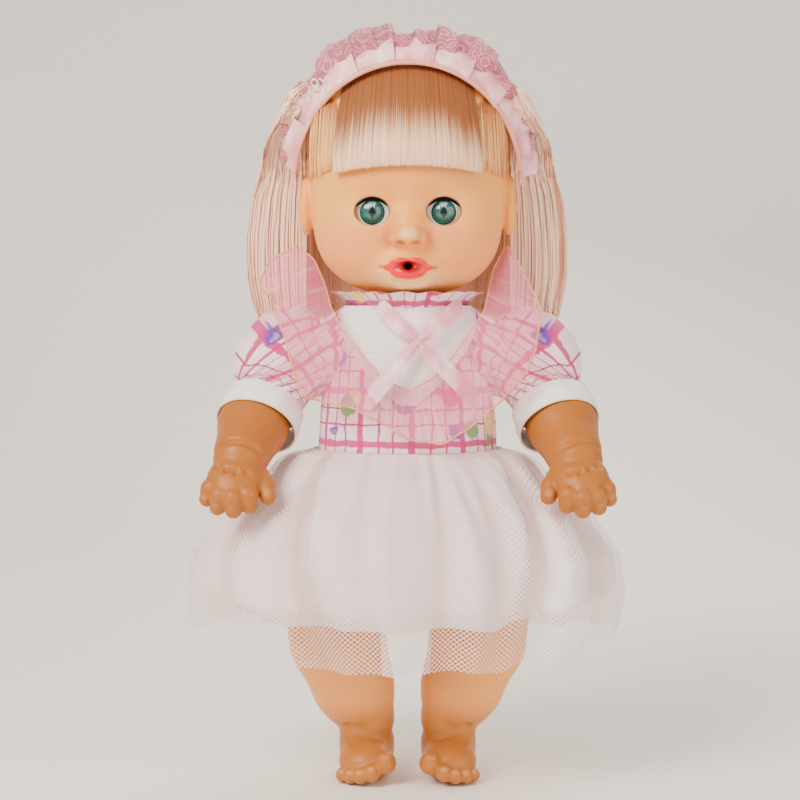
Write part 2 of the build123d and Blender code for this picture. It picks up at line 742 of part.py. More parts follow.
# ---------------------------------------------------------------- dress
BODICE = (
    (WAIST_Z, 46.0, 38.0, BODY_Y + 1.0),
    (190.0, 45.0, 38.5, BODY_Y + 1.5),
    (212.0, 42.0, 36.0, BODY_Y + 1.0),
    (232.0, 38.0, 31.0, BODY_Y),
    (246.0, 28.5, 23.5, BODY_Y),
)


def bodice_layer(low, high, outline=None):
    """A shell between two distances off the bodice, or just the part of it behind an outline."""
    with BuildPart() as shell:
        add(barrel(BODICE, high, high))
        add(barrel(BODICE, low, low), mode=Mode.SUBTRACT)
        for side, _ in SIDES:
            hole = disc_along_x(ARMHOLE, side * 30.0, side * 70.0, BODY_Y, SHOULDER_Z)
            add(hole, mode=Mode.SUBTRACT)
        if outline:
            add(front_prism(outline), mode=Mode.INTERSECT)
    return shell.part


def strip(start, end, half_width):
    """The four corners of a straight strip between two points."""
    run = Vector(end[0] - start[0], end[1] - start[1]).normalized()
    over = Vector(-run.Y, run.X) * half_width
    return [
        (start[0] + over.X, start[1] + over.Y),
        (end[0] + over.X, end[1] + over.Y),
        (end[0] - over.X, end[1] - over.Y),
        (start[0] - over.X, start[1] - over.Y),
    ]


def make_dress():
    """Bodice and its trimmings, then the skirt's two layers."""
    write(bodice_layer(0.0, CLOTH), "dress_bodice")
    bib = [(-28, 244), (28, 244), (24, 215), (6, 193), (-10, 193), (-26, 215)]
    write(bodice_layer(CLOTH, 2 * CLOTH, bib), "dress_bib")
    collar = [(-36, 240), (-31, 244), (4, 184), (31, 244), (36, 240), (30, 205), (10, WAIST_Z + 3), (-26, 205)]
    write(bodice_layer(2 * CLOTH, 3 * CLOTH, collar), "organza_collar")
    bow_low, bow_high = 3 * CLOTH, 4 * CLOTH
    with BuildPart() as bow:
        add(bodice_layer(bow_low, bow_high, strip((-12, 244), (35, 197), 4.5)))
        add(bodice_layer(bow_low, bow_high, strip((28, 244), (-17, 197), 4.5)))
    write(bow.part, "satin_bow")

    with BuildPart() as ruffle:
        with BuildSketch(facing_front(BODY_Y)):
            with BuildLine():
                Polyline((24.0, 250.0), (33.0, 255.4), (33.6, 253.9), (25.2, 248.8), close=True)
            make_face()
        revolve(axis=Axis((0, BODY_Y, 0), (0, 0, 1)))
    write(ruffle.part, "neck_ruffle")

    with BuildPart() as fastener:
        add(barrel(BODICE, 2 * CLOTH, 2 * CLOTH))
        add(barrel(BODICE, CLOTH, CLOTH), mode=Mode.SUBTRACT)
        with Locations((0, BODY_Y + 50.0, 210.0)):
            Box(10.0, 100.0, 60.0, mode=Mode.INTERSECT)
    write(fastener.part, "hook_and_loop")

    layers = (
        ("skirt_lining", LINING_HEM, -LINING_INSET),
        ("skirt_tulle", TULLE_HEM, -TULLE_INSET),
    )
    for name, hem, inset in layers:
        stations = (
            (WAIST_Z - 0.5, 47.5, 39.5, BODY_Y + 1.0),
            (160.0, 70.0, 57.0, 3.0),
            (140.0, 95.0, 73.0, 1.0),
            (115.0, SKIRT_HALF_WIDTH - 3.0, SKIRT_HALF_DEPTH - 2.0, 0.0),
            (hem, SKIRT_HALF_WIDTH, SKIRT_HALF_DEPTH, 0.0),
        )
        with BuildPart() as skirt:
            add(barrel(stations, inset, inset))
            add(barrel(stations, inset - CLOTH, inset - CLOTH), mode=Mode.SUBTRACT)
        write(skirt.part, name)


def make_sleeves():
    """Puffed sleeves and their satin cuffs, all carried by the arms."""
    cuff_plane = Plane(origin=(77.5, BODY_Y - 11.0, 190.0), z_dir=(0.22, -0.62, -0.75), x_dir=(1, 0, 0.29))
    with BuildPart() as cuff:
        with BuildSketch(cuff_plane):
            Circle(CUFF_RADIUS)
            Circle(CUFF_RADIUS - 2 * CLOTH, mode=Mode.SUBTRACT)
        extrude(amount=CUFF_LENGTH)
    with BuildPart() as sleeve:
        with Locations((SLEEVE_X, BODY_Y - 2.0, SHOULDER_Z - 2.0)):
            Sphere(SLEEVE_RADIUS)
            Sphere(SLEEVE_RADIUS - CLOTH, mode=Mode.SUBTRACT)
        add(disc_along_x(40.0, 0.0, SLEEVE_START, BODY_Y, SHOULDER_Z), mode=Mode.SUBTRACT)
        with BuildSketch(cuff_plane.offset(-3.0)):
            Circle(CUFF_RADIUS - 1.0)
        extrude(amount=40.0, mode=Mode.SUBTRACT)
        add(cuff.part, mode=Mode.SUBTRACT)
        add(limb(ARM_PATH, -0.6), mode=Mode.SUBTRACT)
    write_pair(sleeve.part, "sleeve", "left")
    write_pair(cuff.part, "cuff", "left")


make_head()
make_mouth_tube()
make_neck_ring()
make_hair()
make_headband()
torso_whole, torso_hollow = make_torso()
make_electronics(torso_whole, torso_hollow)
make_dress()
for side_sign, side_name in SIDES:
    make_eye(side_sign, side_name)
make_arms()
make_legs()
make_sleeves()
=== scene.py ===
import math

import bmesh
import bpy
import numpy as np
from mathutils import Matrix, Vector


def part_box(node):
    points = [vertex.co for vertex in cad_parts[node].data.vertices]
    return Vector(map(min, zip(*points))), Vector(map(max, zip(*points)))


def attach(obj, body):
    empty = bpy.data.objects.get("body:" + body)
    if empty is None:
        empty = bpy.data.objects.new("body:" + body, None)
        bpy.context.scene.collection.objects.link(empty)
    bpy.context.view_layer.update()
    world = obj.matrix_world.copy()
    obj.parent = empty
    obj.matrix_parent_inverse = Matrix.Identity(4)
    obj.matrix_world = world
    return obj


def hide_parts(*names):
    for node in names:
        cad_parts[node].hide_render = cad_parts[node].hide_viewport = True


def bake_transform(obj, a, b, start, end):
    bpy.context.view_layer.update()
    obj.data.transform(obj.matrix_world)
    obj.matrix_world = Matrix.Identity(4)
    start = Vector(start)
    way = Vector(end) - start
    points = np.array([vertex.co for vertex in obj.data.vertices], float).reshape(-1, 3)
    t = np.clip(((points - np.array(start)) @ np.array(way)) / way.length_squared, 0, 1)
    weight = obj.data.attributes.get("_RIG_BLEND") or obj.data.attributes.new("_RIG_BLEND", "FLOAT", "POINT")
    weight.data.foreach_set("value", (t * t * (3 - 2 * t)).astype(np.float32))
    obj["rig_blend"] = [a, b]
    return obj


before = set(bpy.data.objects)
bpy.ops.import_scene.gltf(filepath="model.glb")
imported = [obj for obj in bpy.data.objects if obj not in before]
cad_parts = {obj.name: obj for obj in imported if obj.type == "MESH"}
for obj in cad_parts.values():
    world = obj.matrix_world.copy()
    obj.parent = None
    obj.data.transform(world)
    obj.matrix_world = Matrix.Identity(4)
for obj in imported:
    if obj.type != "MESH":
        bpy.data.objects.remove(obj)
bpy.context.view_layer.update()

MM = 0.001
PER_MM = 1000.0
random = np.random.default_rng(7)


# ---------------------------------------------------------------- places, in millimetres, from the frame
def node_box(node):
    """Lowest and highest corner of a CAD node, in millimetres."""
    return [np.array(corner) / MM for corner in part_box(node)]


head_low, head_high = node_box("head_shell")
HEAD_RADIUS = 51.5
HEAD_HALF_HEIGHT = (head_high[2] - head_low[2]) / 2
HEAD = np.array([0.0, head_high[1] - HEAD_RADIUS, (head_low[2] + head_high[2]) / 2])
eye_low, eye_high = node_box("eyeball_left")
EYE_X, _, EYE_Z = (eye_low + eye_high) / 2
BALL_RADIUS = (eye_high[2] - eye_low[2]) / 2
EYE_Y = eye_high[1] - BALL_RADIUS
BODY_Y = float(np.mean([corner[1] for corner in node_box("neck_ring")]))
LEFT_RIGHT = (("left", 1), ("right", -1))
SHOULDER_Y, SHOULDER_Z = 7.0, 222.0
SLEEVE_CENTER, SLEEVE_RADIUS = np.array([65.0, 5.0, 220.0]), 27.0
SLEEVE_FLAT, CUFF_FLAT = (165.0, 62.0), (134.0, 13.5)
CUFF_RADIUS, ARMHOLE_RADIUS = 20.8, 16.0
WAIST, NECK_Z, RUFFLE_TOP, COLLAR_FRONT = 171.5, 246.0, 253.3, -44.0


# ---------------------------------------------------------------- camera, lights and floor
CAMERA_AT, CAMERA_AIM = (-0.004, -1.0, 0.25), (-0.004, 0.0, 0.1972)
LIGHT_AIM = (0.0, 0.0, 0.2)
LIGHTS = (  # name, place, size, power and colour
    ("key", (-0.75, -0.95, 1.05), 0.7, 33.0, (1.0, 0.95, 0.89)),
    ("fill", (0.95, -0.85, 0.35), 1.1, 11.0, (1.0, 0.95, 0.92)),
    ("rim", (0.25, 0.95, 0.9), 0.8, 10.0, (1.0, 0.98, 0.97)),
)
FLOOR_HALF, BEND_AT, BEND_RADIUS, BACKDROP_TOP = 4000.0, 900.0, 500.0, 3000.0


def place_camera():
    camera = bpy.data.objects.new("camera", bpy.data.cameras.new("camera"))
    bpy.context.collection.objects.link(camera)
    target = Vector(CAMERA_AIM)
    camera.location = CAMERA_AT
    camera.rotation_euler = (target - camera.location).to_track_quat("-Z", "Y").to_euler()
    camera.data.sensor_width, camera.data.lens = 36.0, 87.0  # millimetres
    bpy.context.scene.camera = camera


def place_light(name, location, size, power, color):
    light = bpy.data.lights.new(name, "AREA")
    light.size, light.energy, light.color = size, power, color
    lamp = bpy.data.objects.new(name, light)
    bpy.context.collection.objects.link(lamp)
    lamp.location = location
    lamp.rotation_euler = (Vector(LIGHT_AIM) - Vector(location)).to_track_quat("-Z", "Y").to_euler()


def place_stage():
    """The camera, the lights, and a floor that bends up into a backdrop."""
    place_camera()
    for light in LIGHTS:
        place_light(*light)
    world = bpy.data.worlds.new("studio")
    world.use_nodes = True
    world.node_tree.nodes["Background"].inputs[0].default_value = (1.0, 0.96, 0.91, 1.0)
    world.node_tree.nodes["Background"].inputs[1].default_value = 0.62
    bpy.context.scene.world = world
    paint = Paint("floor_paint", (0.93, 0.88, 0.81), rough=0.85)
    paint.tint(paint.noise(3.0), (0.90, 0.84, 0.76), 0.5)
    paint.bump(paint.noise(300.0), 0.3, 0.4)
    rows = [(-FLOOR_HALF, 0.0), (BEND_AT, 0.0)]
    for angle in np.linspace(0.1, math.pi / 2, 12):
        rows.append((BEND_AT + BEND_RADIUS * math.sin(angle), BEND_RADIUS - BEND_RADIUS * math.cos(angle)))
    rows.append((BEND_AT + BEND_RADIUS, BACKDROP_TOP))
    points = [(x, y, z) for y, z in rows for x in (-FLOOR_HALF, FLOOR_HALF)]
    faces = [(2 * i, 2 * i + 1, 2 * i + 3, 2 * i + 2) for i in range(len(rows) - 1)]
    floor = piece("floor", points, faces)
    floor.data.materials.append(paint.material)


# ---------------------------------------------------------------- materials
class Paint:
    """A Principled material with short calls for the node work that every surface here needs."""

    def __init__(self, name, color, rough=0.5, **sockets):
        self.material = bpy.data.materials.new(name)
        self.material.use_nodes = True
        self.tree = self.material.node_tree
        self.shader = self.tree.nodes["Principled BSDF"]
        self.shader.inputs["Base Color"].default_value = (*color, 1.0)
        self.shader.inputs["Roughness"].default_value = rough
        for socket, value in sockets.items():
            self.shader.inputs[socket.replace("_", " ").title().replace("Ior", "IOR")].default_value = value
        self.place = self.node("ShaderNodeTexCoord").outputs["Object"]
        self.color = (*color, 1.0)
        self.height = None

    def node(self, kind, inputs=(), **settings):
        node = self.tree.nodes.new(kind)
        for key, value in settings.items():
            setattr(node, key, value)
        for key, value in dict(inputs).items():
            if hasattr(value, "links"):
                self.tree.links.new(value, node.inputs[key])
            else:
                node.inputs[key].default_value = value
        return node

    def math(self, operation, first, second=0.0, third=0.0):
        node = self.node("ShaderNodeMath", {0: first, 1: second, 2: third}, operation=operation)
        return node.outputs[0]

    def times(self, first, second):
        return self.math("MULTIPLY", first, second)

    def plus(self, first, second):
        return self.math("ADD", first, second)

    def minus(self, first, second):
        return self.math("SUBTRACT", first, second)

    def most(self, first, second):
        return self.math("MAXIMUM", first, second)

    def size(self, value):
        return self.math("ABSOLUTE", value)

    def sine(self, value, rate):
        return self.math("SINE", self.times(value, rate))

    def radius(self, x, z):
        return self.math("SQRT", self.plus(self.math("POWER", x, 2.0), self.math("POWER", z, 2.0)))

    def away(self, center):
        """The place as seen from a point given in millimetres."""
        settings = {0: self.place, 1: np.array(center) * MM}
        return self.node("ShaderNodeVectorMath", settings, operation="SUBTRACT").outputs[0]

    def axis(self, index):
        return self.node("ShaderNodeSeparateXYZ", {0: self.place}).outputs[index]

    def scaled(self, x, y, z):
        """The place stretched along each axis, for a grain that runs one way."""
        node = self.node("ShaderNodeVectorMath", {0: self.place, 1: (x, y, z)}, operation="MULTIPLY")
        return node.outputs[0]

    def noise(self, scale, detail=3.0, place=None):
        inputs = {"Vector": place or self.place, "Scale": scale, "Detail": detail}
        return self.node("ShaderNodeTexNoise", inputs).outputs["Fac"]

    def attribute(self, name):
        return self.node("ShaderNodeAttribute", attribute_name=name).outputs["Fac"]

    def step(self, value, low, high, to_low=0.0, to_high=1.0):
        """A smooth step from to_low to to_high while value goes from low to high."""
        inputs = {0: value, 1: low, 2: high, 3: to_low, 4: to_high}
        return self.node("ShaderNodeMapRange", inputs, interpolation_type="SMOOTHSTEP").outputs[0]

    def blob(self, center, radii, soft=0.3):
        """1 inside an ellipsoid given in millimetres, 0 outside, soft at the edge."""
        inverse = 1.0 / (np.array(radii) * MM)
        sized = self.node("ShaderNodeVectorMath", {0: self.away(center), 1: inverse}, operation="MULTIPLY")
        length = self.node("ShaderNodeVectorMath", {0: sized.outputs[0]}, operation="LENGTH")
        return self.step(length.outputs["Value"], 1.0 + soft, 1.0 - soft)

    def tint(self, mask, color, strength=1.0):
        """Lays a colour over what the material has so far, where mask is 1."""
        if strength != 1.0:
            mask = self.times(mask, strength)
        color = (*color, 1.0) if isinstance(color, tuple) else color
        sockets = {0: mask, 6: self.color, 7: color}
        self.color = self.node("ShaderNodeMix", sockets, data_type="RGBA", blend_type="MIX").outputs[2]
        self.tree.links.new(self.color, self.shader.inputs["Base Color"])

    def bump(self, height, distance, strength=1.0):
        """Adds relief, distance in millimetres."""
        inputs = {"Height": height, "Distance": distance * MM, "Strength": strength}
        if self.height is not None:
            inputs["Normal"] = self.height
        self.height = self.node("ShaderNodeBump", inputs).outputs[0]
        self.tree.links.new(self.height, self.shader.inputs["Normal"])

    def rough(self, value, low, high):
        self.tree.links.new(self.step(value, 0.3, 0.7, low, high), self.shader.inputs["Roughness"])

    def weave(self, pitch, depth):
        """A plain weave: two crossed ripples, pitch in millimetres."""
        rate = 2 * math.pi / (pitch * MM)
        self.bump(self.times(self.sine(self.axis(0), rate), self.sine(self.axis(2), rate)), depth)

    def holes(self, mask):
        self.tree.links.new(mask, self.shader.inputs["Alpha"])


def vinyl(name, color, warm):
    """Soft vinyl: slightly translucent, with faint mottling and a fine moulded grain."""
    paint = Paint(name, color, rough=0.42, subsurface_weight=0.18, subsurface_scale=0.004,
                  subsurface_radius=(1.0, 0.45, 0.25), specular_ior_level=0.30)
    paint.tint(paint.noise(28.0), warm, 0.28)
    paint.rough(paint.noise(160.0), 0.38, 0.5)
    paint.bump(paint.noise(1400.0, 2.0), 0.03, 0.5)
    return paint


# ---------------------------------------------------------------- solid shapes from distance fields
def ball(p, center, radius):
    """Distance of each point from a ball: below 0 inside, as in every field here."""
    return np.linalg.norm(p - center, axis=1) - radius


def egg(p, center, radii):
    q = (p - center) / np.array(radii)
    k0 = np.linalg.norm(q, axis=1)
    k1 = np.linalg.norm(q / np.array(radii), axis=1)
    return k0 * (k0 - 1.0) / np.maximum(k1, 1e-6)


def bone(p, start, end, start_radius, end_radius):
    """A tapering round bar between two points."""
    start, end = np.array(start, float), np.array(end, float)
    run = end - start
    t = np.clip((p - start) @ run / (run @ run), 0.0, 1.0)
    return np.linalg.norm(p - start - t[:, None] * run, axis=1) - (start_radius + t * (end_radius - start_radius))


def join(a, b, k):
    """Both fields as one shape, with a fillet about k wide between them."""
    h = np.maximum(k - np.abs(a - b), 0.0) / k
    return np.minimum(a, b) - h * h * k * 0.25


def carve(a, b, k):
    """The first shape without the second, its edge rounded over about k."""
    return -join(-a, b, k)


def solid(name, field, low, high, step):
    """Meshes the surface where the field is zero: one vertex in each crossed cell, then pulled onto it."""
    axes = [np.arange(l, h + step, step) for l, h in zip(low, high)]
    grid = np.stack(np.meshgrid(*axes, indexing="ij"), axis=-1).reshape(-1, 3)
    value = field(grid).reshape([len(axis) for axis in axes])
    cells = np.array(value.shape) - 1
    total, count = np.zeros((*cells, 3)), np.zeros(cells)

    def corner(offset):
        return value[tuple(slice(o, o + n) for o, n in zip(offset, cells))]

    for axis in range(3):
        others = [i for i in range(3) if i != axis]
        for first in (0, 1):
            for second in (0, 1):
                start = np.zeros(3, int)
                start[others[0]], start[others[1]] = first, second
                end = start.copy()
                end[axis] = 1
                a, b = corner(start), corner(end)
                crossed = (a < 0) != (b < 0)
                t = np.where(crossed, a / np.where(crossed, a - b, 1.0), 0.0)
                for i in range(3):
                    total[..., i] += np.where(crossed, start[i] + (t if i == axis else 0.0), 0.0)
                count += crossed
    used = count > 0
    number = np.full(cells, -1)
    number[used] = np.arange(used.sum())
    where = np.argwhere(used)
    points = np.array(low) + (where + total[used] / count[used][:, None]) * step
    faces = []
    for axis in range(3):
        u, v = [(1, 2), (2, 0), (0, 1)][axis]
        edges = [slice(1, n) for n in cells]
        edges[axis] = slice(0, cells[axis])
        ahead = list(edges)
        ahead[axis] = slice(1, cells[axis] + 1)
        inside_a, inside_b = value[tuple(edges)] < 0, value[tuple(ahead)] < 0
        for flag, order in ((inside_a & ~inside_b, 1), (~inside_a & inside_b, -1)):
            at = np.argwhere(flag)
            for i in range(3):
                if i != axis:
                    at[:, i] += 1
            around = []
            for du, dv in ((-1, -1), (0, -1), (0, 0), (-1, 0)):
                cell = at.copy()
                cell[:, u] += du
                cell[:, v] += dv
                around.append(number[tuple(cell.T)])
            faces.append(np.stack(around, axis=1)[:, ::order])
    faces = np.concatenate(faces)
    small = 0.15
    for _ in range(3):
        slope = np.stack(
            [(field(points + small * e) - field(points - small * e)) / (2 * small) for e in np.eye(3)], axis=1
        )
        push = field(points) / np.maximum((slope * slope).sum(axis=1), 0.05)
        points = points - np.clip(push, -step, step)[:, None] * slope
    return piece(name, points, faces)


def piece(name, points, faces):
    """A mesh object from points in millimetres."""
    mesh = bpy.data.meshes.new(name)
    faces = faces.tolist() if isinstance(faces, np.ndarray) else faces
    mesh.from_pydata((np.asarray(points) * MM).tolist(), [], faces)
    mesh.validate()
    mesh.shade_smooth()
    shape = bpy.data.objects.new(name, mesh)
    bpy.context.collection.objects.link(shape)
    return shape


def unit_grid(across, down):
    """Two numbers from 0 to 1 at each point of a grid, column by column."""
    return np.meshgrid(np.linspace(0, 1, across), np.linspace(0, 1, down), indexing="ij")


def grid_faces(across, down, start=0, flip=False):
    """The four-sided faces of such a grid with its points numbered from start, turned over by flip."""
    i, j = np.meshgrid(np.arange(across - 1), np.arange(down - 1), indexing="ij")
    a = (start + i * down + j).ravel()
    corners = [a, a + 1, a + down + 1, a + down] if flip else [a, a + down, a + down + 1, a + 1]
    return np.stack(corners, axis=1)


def store(shape, name, values):
    """Keeps one number per point on the mesh, for its material."""
    layer = shape.data.attributes.new(name, "FLOAT", "POINT")
    layer.data.foreach_set("value", np.asarray(values, np.float32))


def finish_piece(shape, paint, body, slot, *nodes):
    """Gives a piece its material and its body, and hides the CAD nodes it stands for."""
    shape.data.materials.clear()
    shape.data.materials.append(paint.material)
    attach(shape, body)
    if nodes:
        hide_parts(*nodes)


# ---------------------------------------------------------------- head
def head_field(p):
    """The head's skin with its ears, eye openings, mouth hole and the round hole for the neck."""
    q = p - HEAD
    m = q.copy()
    m[:, 0] = np.abs(q[:, 0])  # both sides of the face at once
    d = egg(q, (0, 0, 0), (HEAD_RADIUS, HEAD_RADIUS, HEAD_HALF_HEIGHT))
    d = join(d, egg(m, (19, -17, -30), (26, 28, 24)), 14.0)  # cheeks
    d = join(d, egg(q, (0, -31, -46.5), (16, 13, 10.5)), 9.0)  # chin
    d = carve(d, egg(m, (15, -60, -15), (17, 12.5, 9.5)), 9.0)  # eye sockets
    d = join(d, ball(m, (EYE_X, EYE_Y - HEAD[1], EYE_Z - HEAD[2]), BALL_RADIUS + 1.2), 3.0)  # eyelids
    d = join(d, egg(q, (0, -45.5, -26), (6.5, 8.0, 8)), 7.0)  # nose bridge
    d = join(d, egg(q, (0, -52.6, -30.2), (6.6, 5.8, 5.0)), 2.6)  # nose tip
    d = join(d, egg(m, (6.9, -49.4, -31.4), (3.4, 4.2, 3.5)), 1.8)  # nostril wings
    d = carve(d, egg(m, (3.7, -55.2, -34.4), (1.8, 1.8, 1.0)), 1.0)  # nostrils
    d = join(d, egg(q, (0, -41, -45.5), (15, 8.5, 9.5)), 6.0)  # round the mouth
    d = carve(d, egg(q, (0, -52.4, -37.6), (2.0, 2.2, 2.6)), 1.6)  # groove under the nose
    d = join(d, egg(m, (3.4, -47.4, -42.6), (6.6, 3.6, 2.2)), 1.4)  # upper lip
    d = join(d, egg(q, (0, -46.6, -48.6), (8.2, 4.4, 2.9)), 1.6)  # lower lip
    d = join(d, egg(m, (9.2, -45.4, -45.6), (3.4, 3.0, 2.0)), 1.6)  # lip corners
    d = carve(d, egg(q, (0, -52.5, -44.8), (4.4, 5.6, 2.1)), 1.2)  # open mouth
    d = carve(d, bone(q, (0, -60, -45.0), (0, -38, -45.4), 2.1, 2.1), 0.5)
    d = carve(d, egg(m, (13.6, -44.8, -45.8), (2.6, 1.6, 0.7)), 1.4)  # mouth corners
    d = carve(d, bone(q, (-5, -45.8, -53.4), (5, -45.8, -53.4), 1.0, 1.0), 3.5)  # under the lip
    ear = egg(m, (52.5, -2.5, -13), (4.6, 10.0, 15.5))
    ear = carve(ear, egg(m, (57.6, -4.5, -11.5), (4.4, 6.3, 10.0)), 2.0)
    ear = join(ear, egg(m, (54.0, -7.4, -14.0), (3.2, 2.2, 3.6)), 2.0)
    d = join(d, ear, 2.2)
    lid = ball(m, (EYE_X, EYE_Y - HEAD[1], EYE_Z - HEAD[2]), BALL_RADIUS + 0.35)
    d = carve(d, lid, 0.3)
    sx = (m[:, 0] - EYE_X) / 8.8
    sz = (m[:, 2] - (EYE_Z - HEAD[2])) / 7.2
    opening = (np.sqrt(sx * sx + sz * sz) - 1.0) * 7.2
    opening = np.maximum(opening, m[:, 1] + 33.0)
    d = carve(d, opening, 0.35)
    neck = np.maximum(np.hypot(p[:, 0], p[:, 1] - BODY_Y) - 18.2, q[:, 2] + 44.0)
    d = np.maximum(d, -neck)
    return np.maximum(d, -q[:, 2] - HEAD_HALF_HEIGHT)


# Colour on the face: place from the middle of the head, radii, softness, colour and strength.
FACE_SIDES = (
    ((17, -46, -4), (17, 22, 9), 0.75, (0.80, 0.27, 0.06), 0.55),  # painted shade under the fringe
    ((13, -50, -31), (17, 20, 5), 0.8, (0.85, 0.26, 0.07), 0.5),  # below the eye
    ((9.5, -49, -20), (3.6, 12, 9), 0.8, (0.70, 0.20, 0.03), 0.55),  # painted shade at the inner corner of the eye
    ((EYE_X, EYE_Y - BALL_RADIUS - HEAD[1], EYE_Z - HEAD[2]), (9.25, 9, 7.65), 0.04, (0.10, 0.03, 0.015), 0.8),
    ((31, -38, -38), (17, 22, 14), 0.8, (0.96, 0.27, 0.12), 0.5),  # cheek
    ((3.9, -55, -33.8), (2.3, 5, 1.3), 0.6, (0.34, 0.08, 0.012), 0.9),  # painted shade in the nostril
    ((10.2, -47, -31), (2.0, 8, 4.8), 0.9, (0.72, 0.19, 0.03), 0.7),  # painted shade at the side of the nose
    ((14, -45, -45.9), (2.8, 6, 0.6), 0.6, (0.58, 0.20, 0.06), 0.8),  # painted shade in the mouth corner
    ((52, -1, -14), (8, 12, 13), 0.7, (0.85, 0.27, 0.05), 0.6),  # ear
)
FACE_MIDDLE = (
    ((0, -52, -20), (9, 12, 12), 0.8, (0.85, 0.28, 0.07), 0.25),  # painted shade on the nose bridge
    ((0, -58, -29), (4.5, 5, 3.4), 0.8, (1.0, 0.62, 0.24), 0.7),  # painted highlight on the nose tip
    ((0, -42, -56), (24, 22, 9), 0.8, (1.0, 0.62, 0.27), 0.75),  # painted light on the chin, lightening its shaded underside
)


def face_paint():
    """Vinyl with painted shade and painted light on the face, blush on the cheeks and glossy red lips."""
    paint = vinyl("face_vinyl", (0.99, 0.43, 0.085), (0.98, 0.37, 0.06))

    def at(x, y, z):
        return (x, HEAD[1] + y, HEAD[2] + z)

    for side, rows in ((1, FACE_SIDES), (-1, FACE_SIDES), (1, FACE_MIDDLE)):
        for (x, y, z), radii, soft, color, strength in rows:
            paint.tint(paint.blob(at(side * x, y, z), radii, soft), color, strength)
    lips = paint.blob(at(0, -48, -47.0), (9.6, 9, 4.9), 0.08)
    for side in (1, -1):
        lips = paint.most(lips, paint.blob(at(side * 3.1, -48, -44.1), (6.4, 9, 3.2), 0.08))
        lips = paint.most(lips, paint.blob(at(side * 7.6, -46, -45.9), (4.8, 9, 2.1), 0.10))
    paint.tint(lips, (0.86, 0.018, 0.014))
    paint.tint(paint.blob(at(0, -50, -45.8), (6.6, 10, 2.9), 0.3), (0.30, 0.002, 0.003), 0.85)
    paint.tint(paint.blob(at(0, -44, -45.0), (3.4, 12, 2.6), 0.2), (0.42, 0.004, 0.004))
    paint.tree.links.new(paint.minus(0.46, paint.times(lips, 0.2)), paint.shader.inputs["Roughness"])
    return paint


def make_head():
    """The vinyl head, meshed a little past its CAD box on every side."""
    reach = (HEAD_RADIUS + 9.0, HEAD_RADIUS + 12.0, HEAD_HALF_HEIGHT + 3.0)
    low, high = HEAD - np.array(reach), HEAD + np.array(reach)
    shape = solid("head_skin", head_field, low, high, 1.15)
    finish_piece(shape, face_paint(), "head", "vinyl_face", "head_shell")


# ---------------------------------------------------------------- eyes
def eye_paint(name, aim):
    """A white ball with a ringed iris, a pupil with a painted highlight above it and a painted eyelid on top, all
    placed round its aim.
    """
    paint = Paint(f"eye_{name}_paint", (0.98, 0.98, 0.97), rough=0.12, coat_weight=0.5, coat_roughness=0.03)
    x, y, z = paint.node("ShaderNodeSeparateXYZ", {0: paint.away(aim)}).outputs
    radius = paint.times(paint.radius(x, z), PER_MM)
    front = paint.step(y, -0.001, -0.003)
    angle = paint.math("ARCTAN2", z, x)
    spokes = paint.node("ShaderNodeTexNoise", {"Scale": 1.0, "Detail": 2.0, "Vector": paint.node(
        "ShaderNodeCombineXYZ", {0: paint.times(angle, 14.0), 1: paint.times(radius, 0.5)}
    ).outputs[0]}).outputs["Fac"]
    rings = paint.sine(radius, 5.2)
    iris = paint.times(front, paint.step(radius, 6.35, 6.15))
    paint.tint(iris, (0.006, 0.065, 0.052))
    for mask, color, strength in (
        (paint.step(rings, 0.1, 0.9), (0.035, 0.20, 0.16), 0.6),
        (paint.step(spokes, 0.45, 0.7), (0.06, 0.27, 0.23), 0.45),
        (paint.step(radius, 5.4, 6.1), (0.003, 0.045, 0.04), 0.9),  # dark rim
        (paint.step(radius, 3.0, 2.2), (0.02, 0.13, 0.13), 0.6),  # paler middle
    ):
        paint.tint(paint.times(iris, mask), color, strength)
    # painted highlight: a pale fan above the pupil, standing in for a reflection of the lamp
    highlight_fan = paint.times(paint.step(z, 0.0006, 0.0026), paint.step(z, 0.0056, 0.0040))
    wide = paint.minus(paint.times(z, 0.42), paint.size(x))
    highlight_fan = paint.times(highlight_fan, paint.step(wide, -0.0003, 0.0005))
    paint.tint(paint.times(front, highlight_fan), (0.80, 0.88, 0.88), 0.5)
    # the pupil is a kite, taller than wide
    kite = paint.plus(paint.times(paint.size(x), 1500.0), paint.times(paint.size(z), 820.0))
    paint.tint(paint.times(front, paint.step(kite, 3.0, 2.6)), (0.002, 0.002, 0.002))
    lid = paint.step(paint.minus(z, paint.times(y, -0.62)), 0.0006, 0.0008)
    paint.tint(paint.times(lid, paint.step(z, 0.003, 0.0032)), (0.98, 0.47, 0.12))
    return paint


def make_eye(name, side):
    """A glossy ball with its iris and its black lash strip, on the CAD eye's own pins."""
    center = np.array([side * EYE_X, EYE_Y, EYE_Z])
    paint = eye_paint(name, center + np.array([0.0, 0.0, -0.4]))
    turns, rings_count = 48, 40
    points, faces = [], []
    for i in range(rings_count + 1):
        polar = math.pi * i / rings_count
        bulge = 0.25 * math.exp(-((BALL_RADIUS * math.sin(polar) / 5.0) ** 2)) if polar < 1.2 else 0.0
        for j in range(turns):
            around = 2 * math.pi * j / turns
            reach = BALL_RADIUS + bulge
            points.append(center + reach * np.array([
                math.sin(polar) * math.cos(around), -math.cos(polar), math.sin(polar) * math.sin(around)
            ]))
    for i in range(rings_count):
        for j in range(turns):
            k = (j + 1) % turns
            faces.append((i * turns + j, i * turns + k, (i + 1) * turns + k, (i + 1) * turns + j))
    shape = piece(f"eyeball_{name}_shell", points, faces)
    edit(shape, merge_doubles)
    finish_piece(shape, paint, f"eye_{name}", "eye_white", f"eyeball_{name}", f"iris_lens_{name}")
    make_lash(name, center)


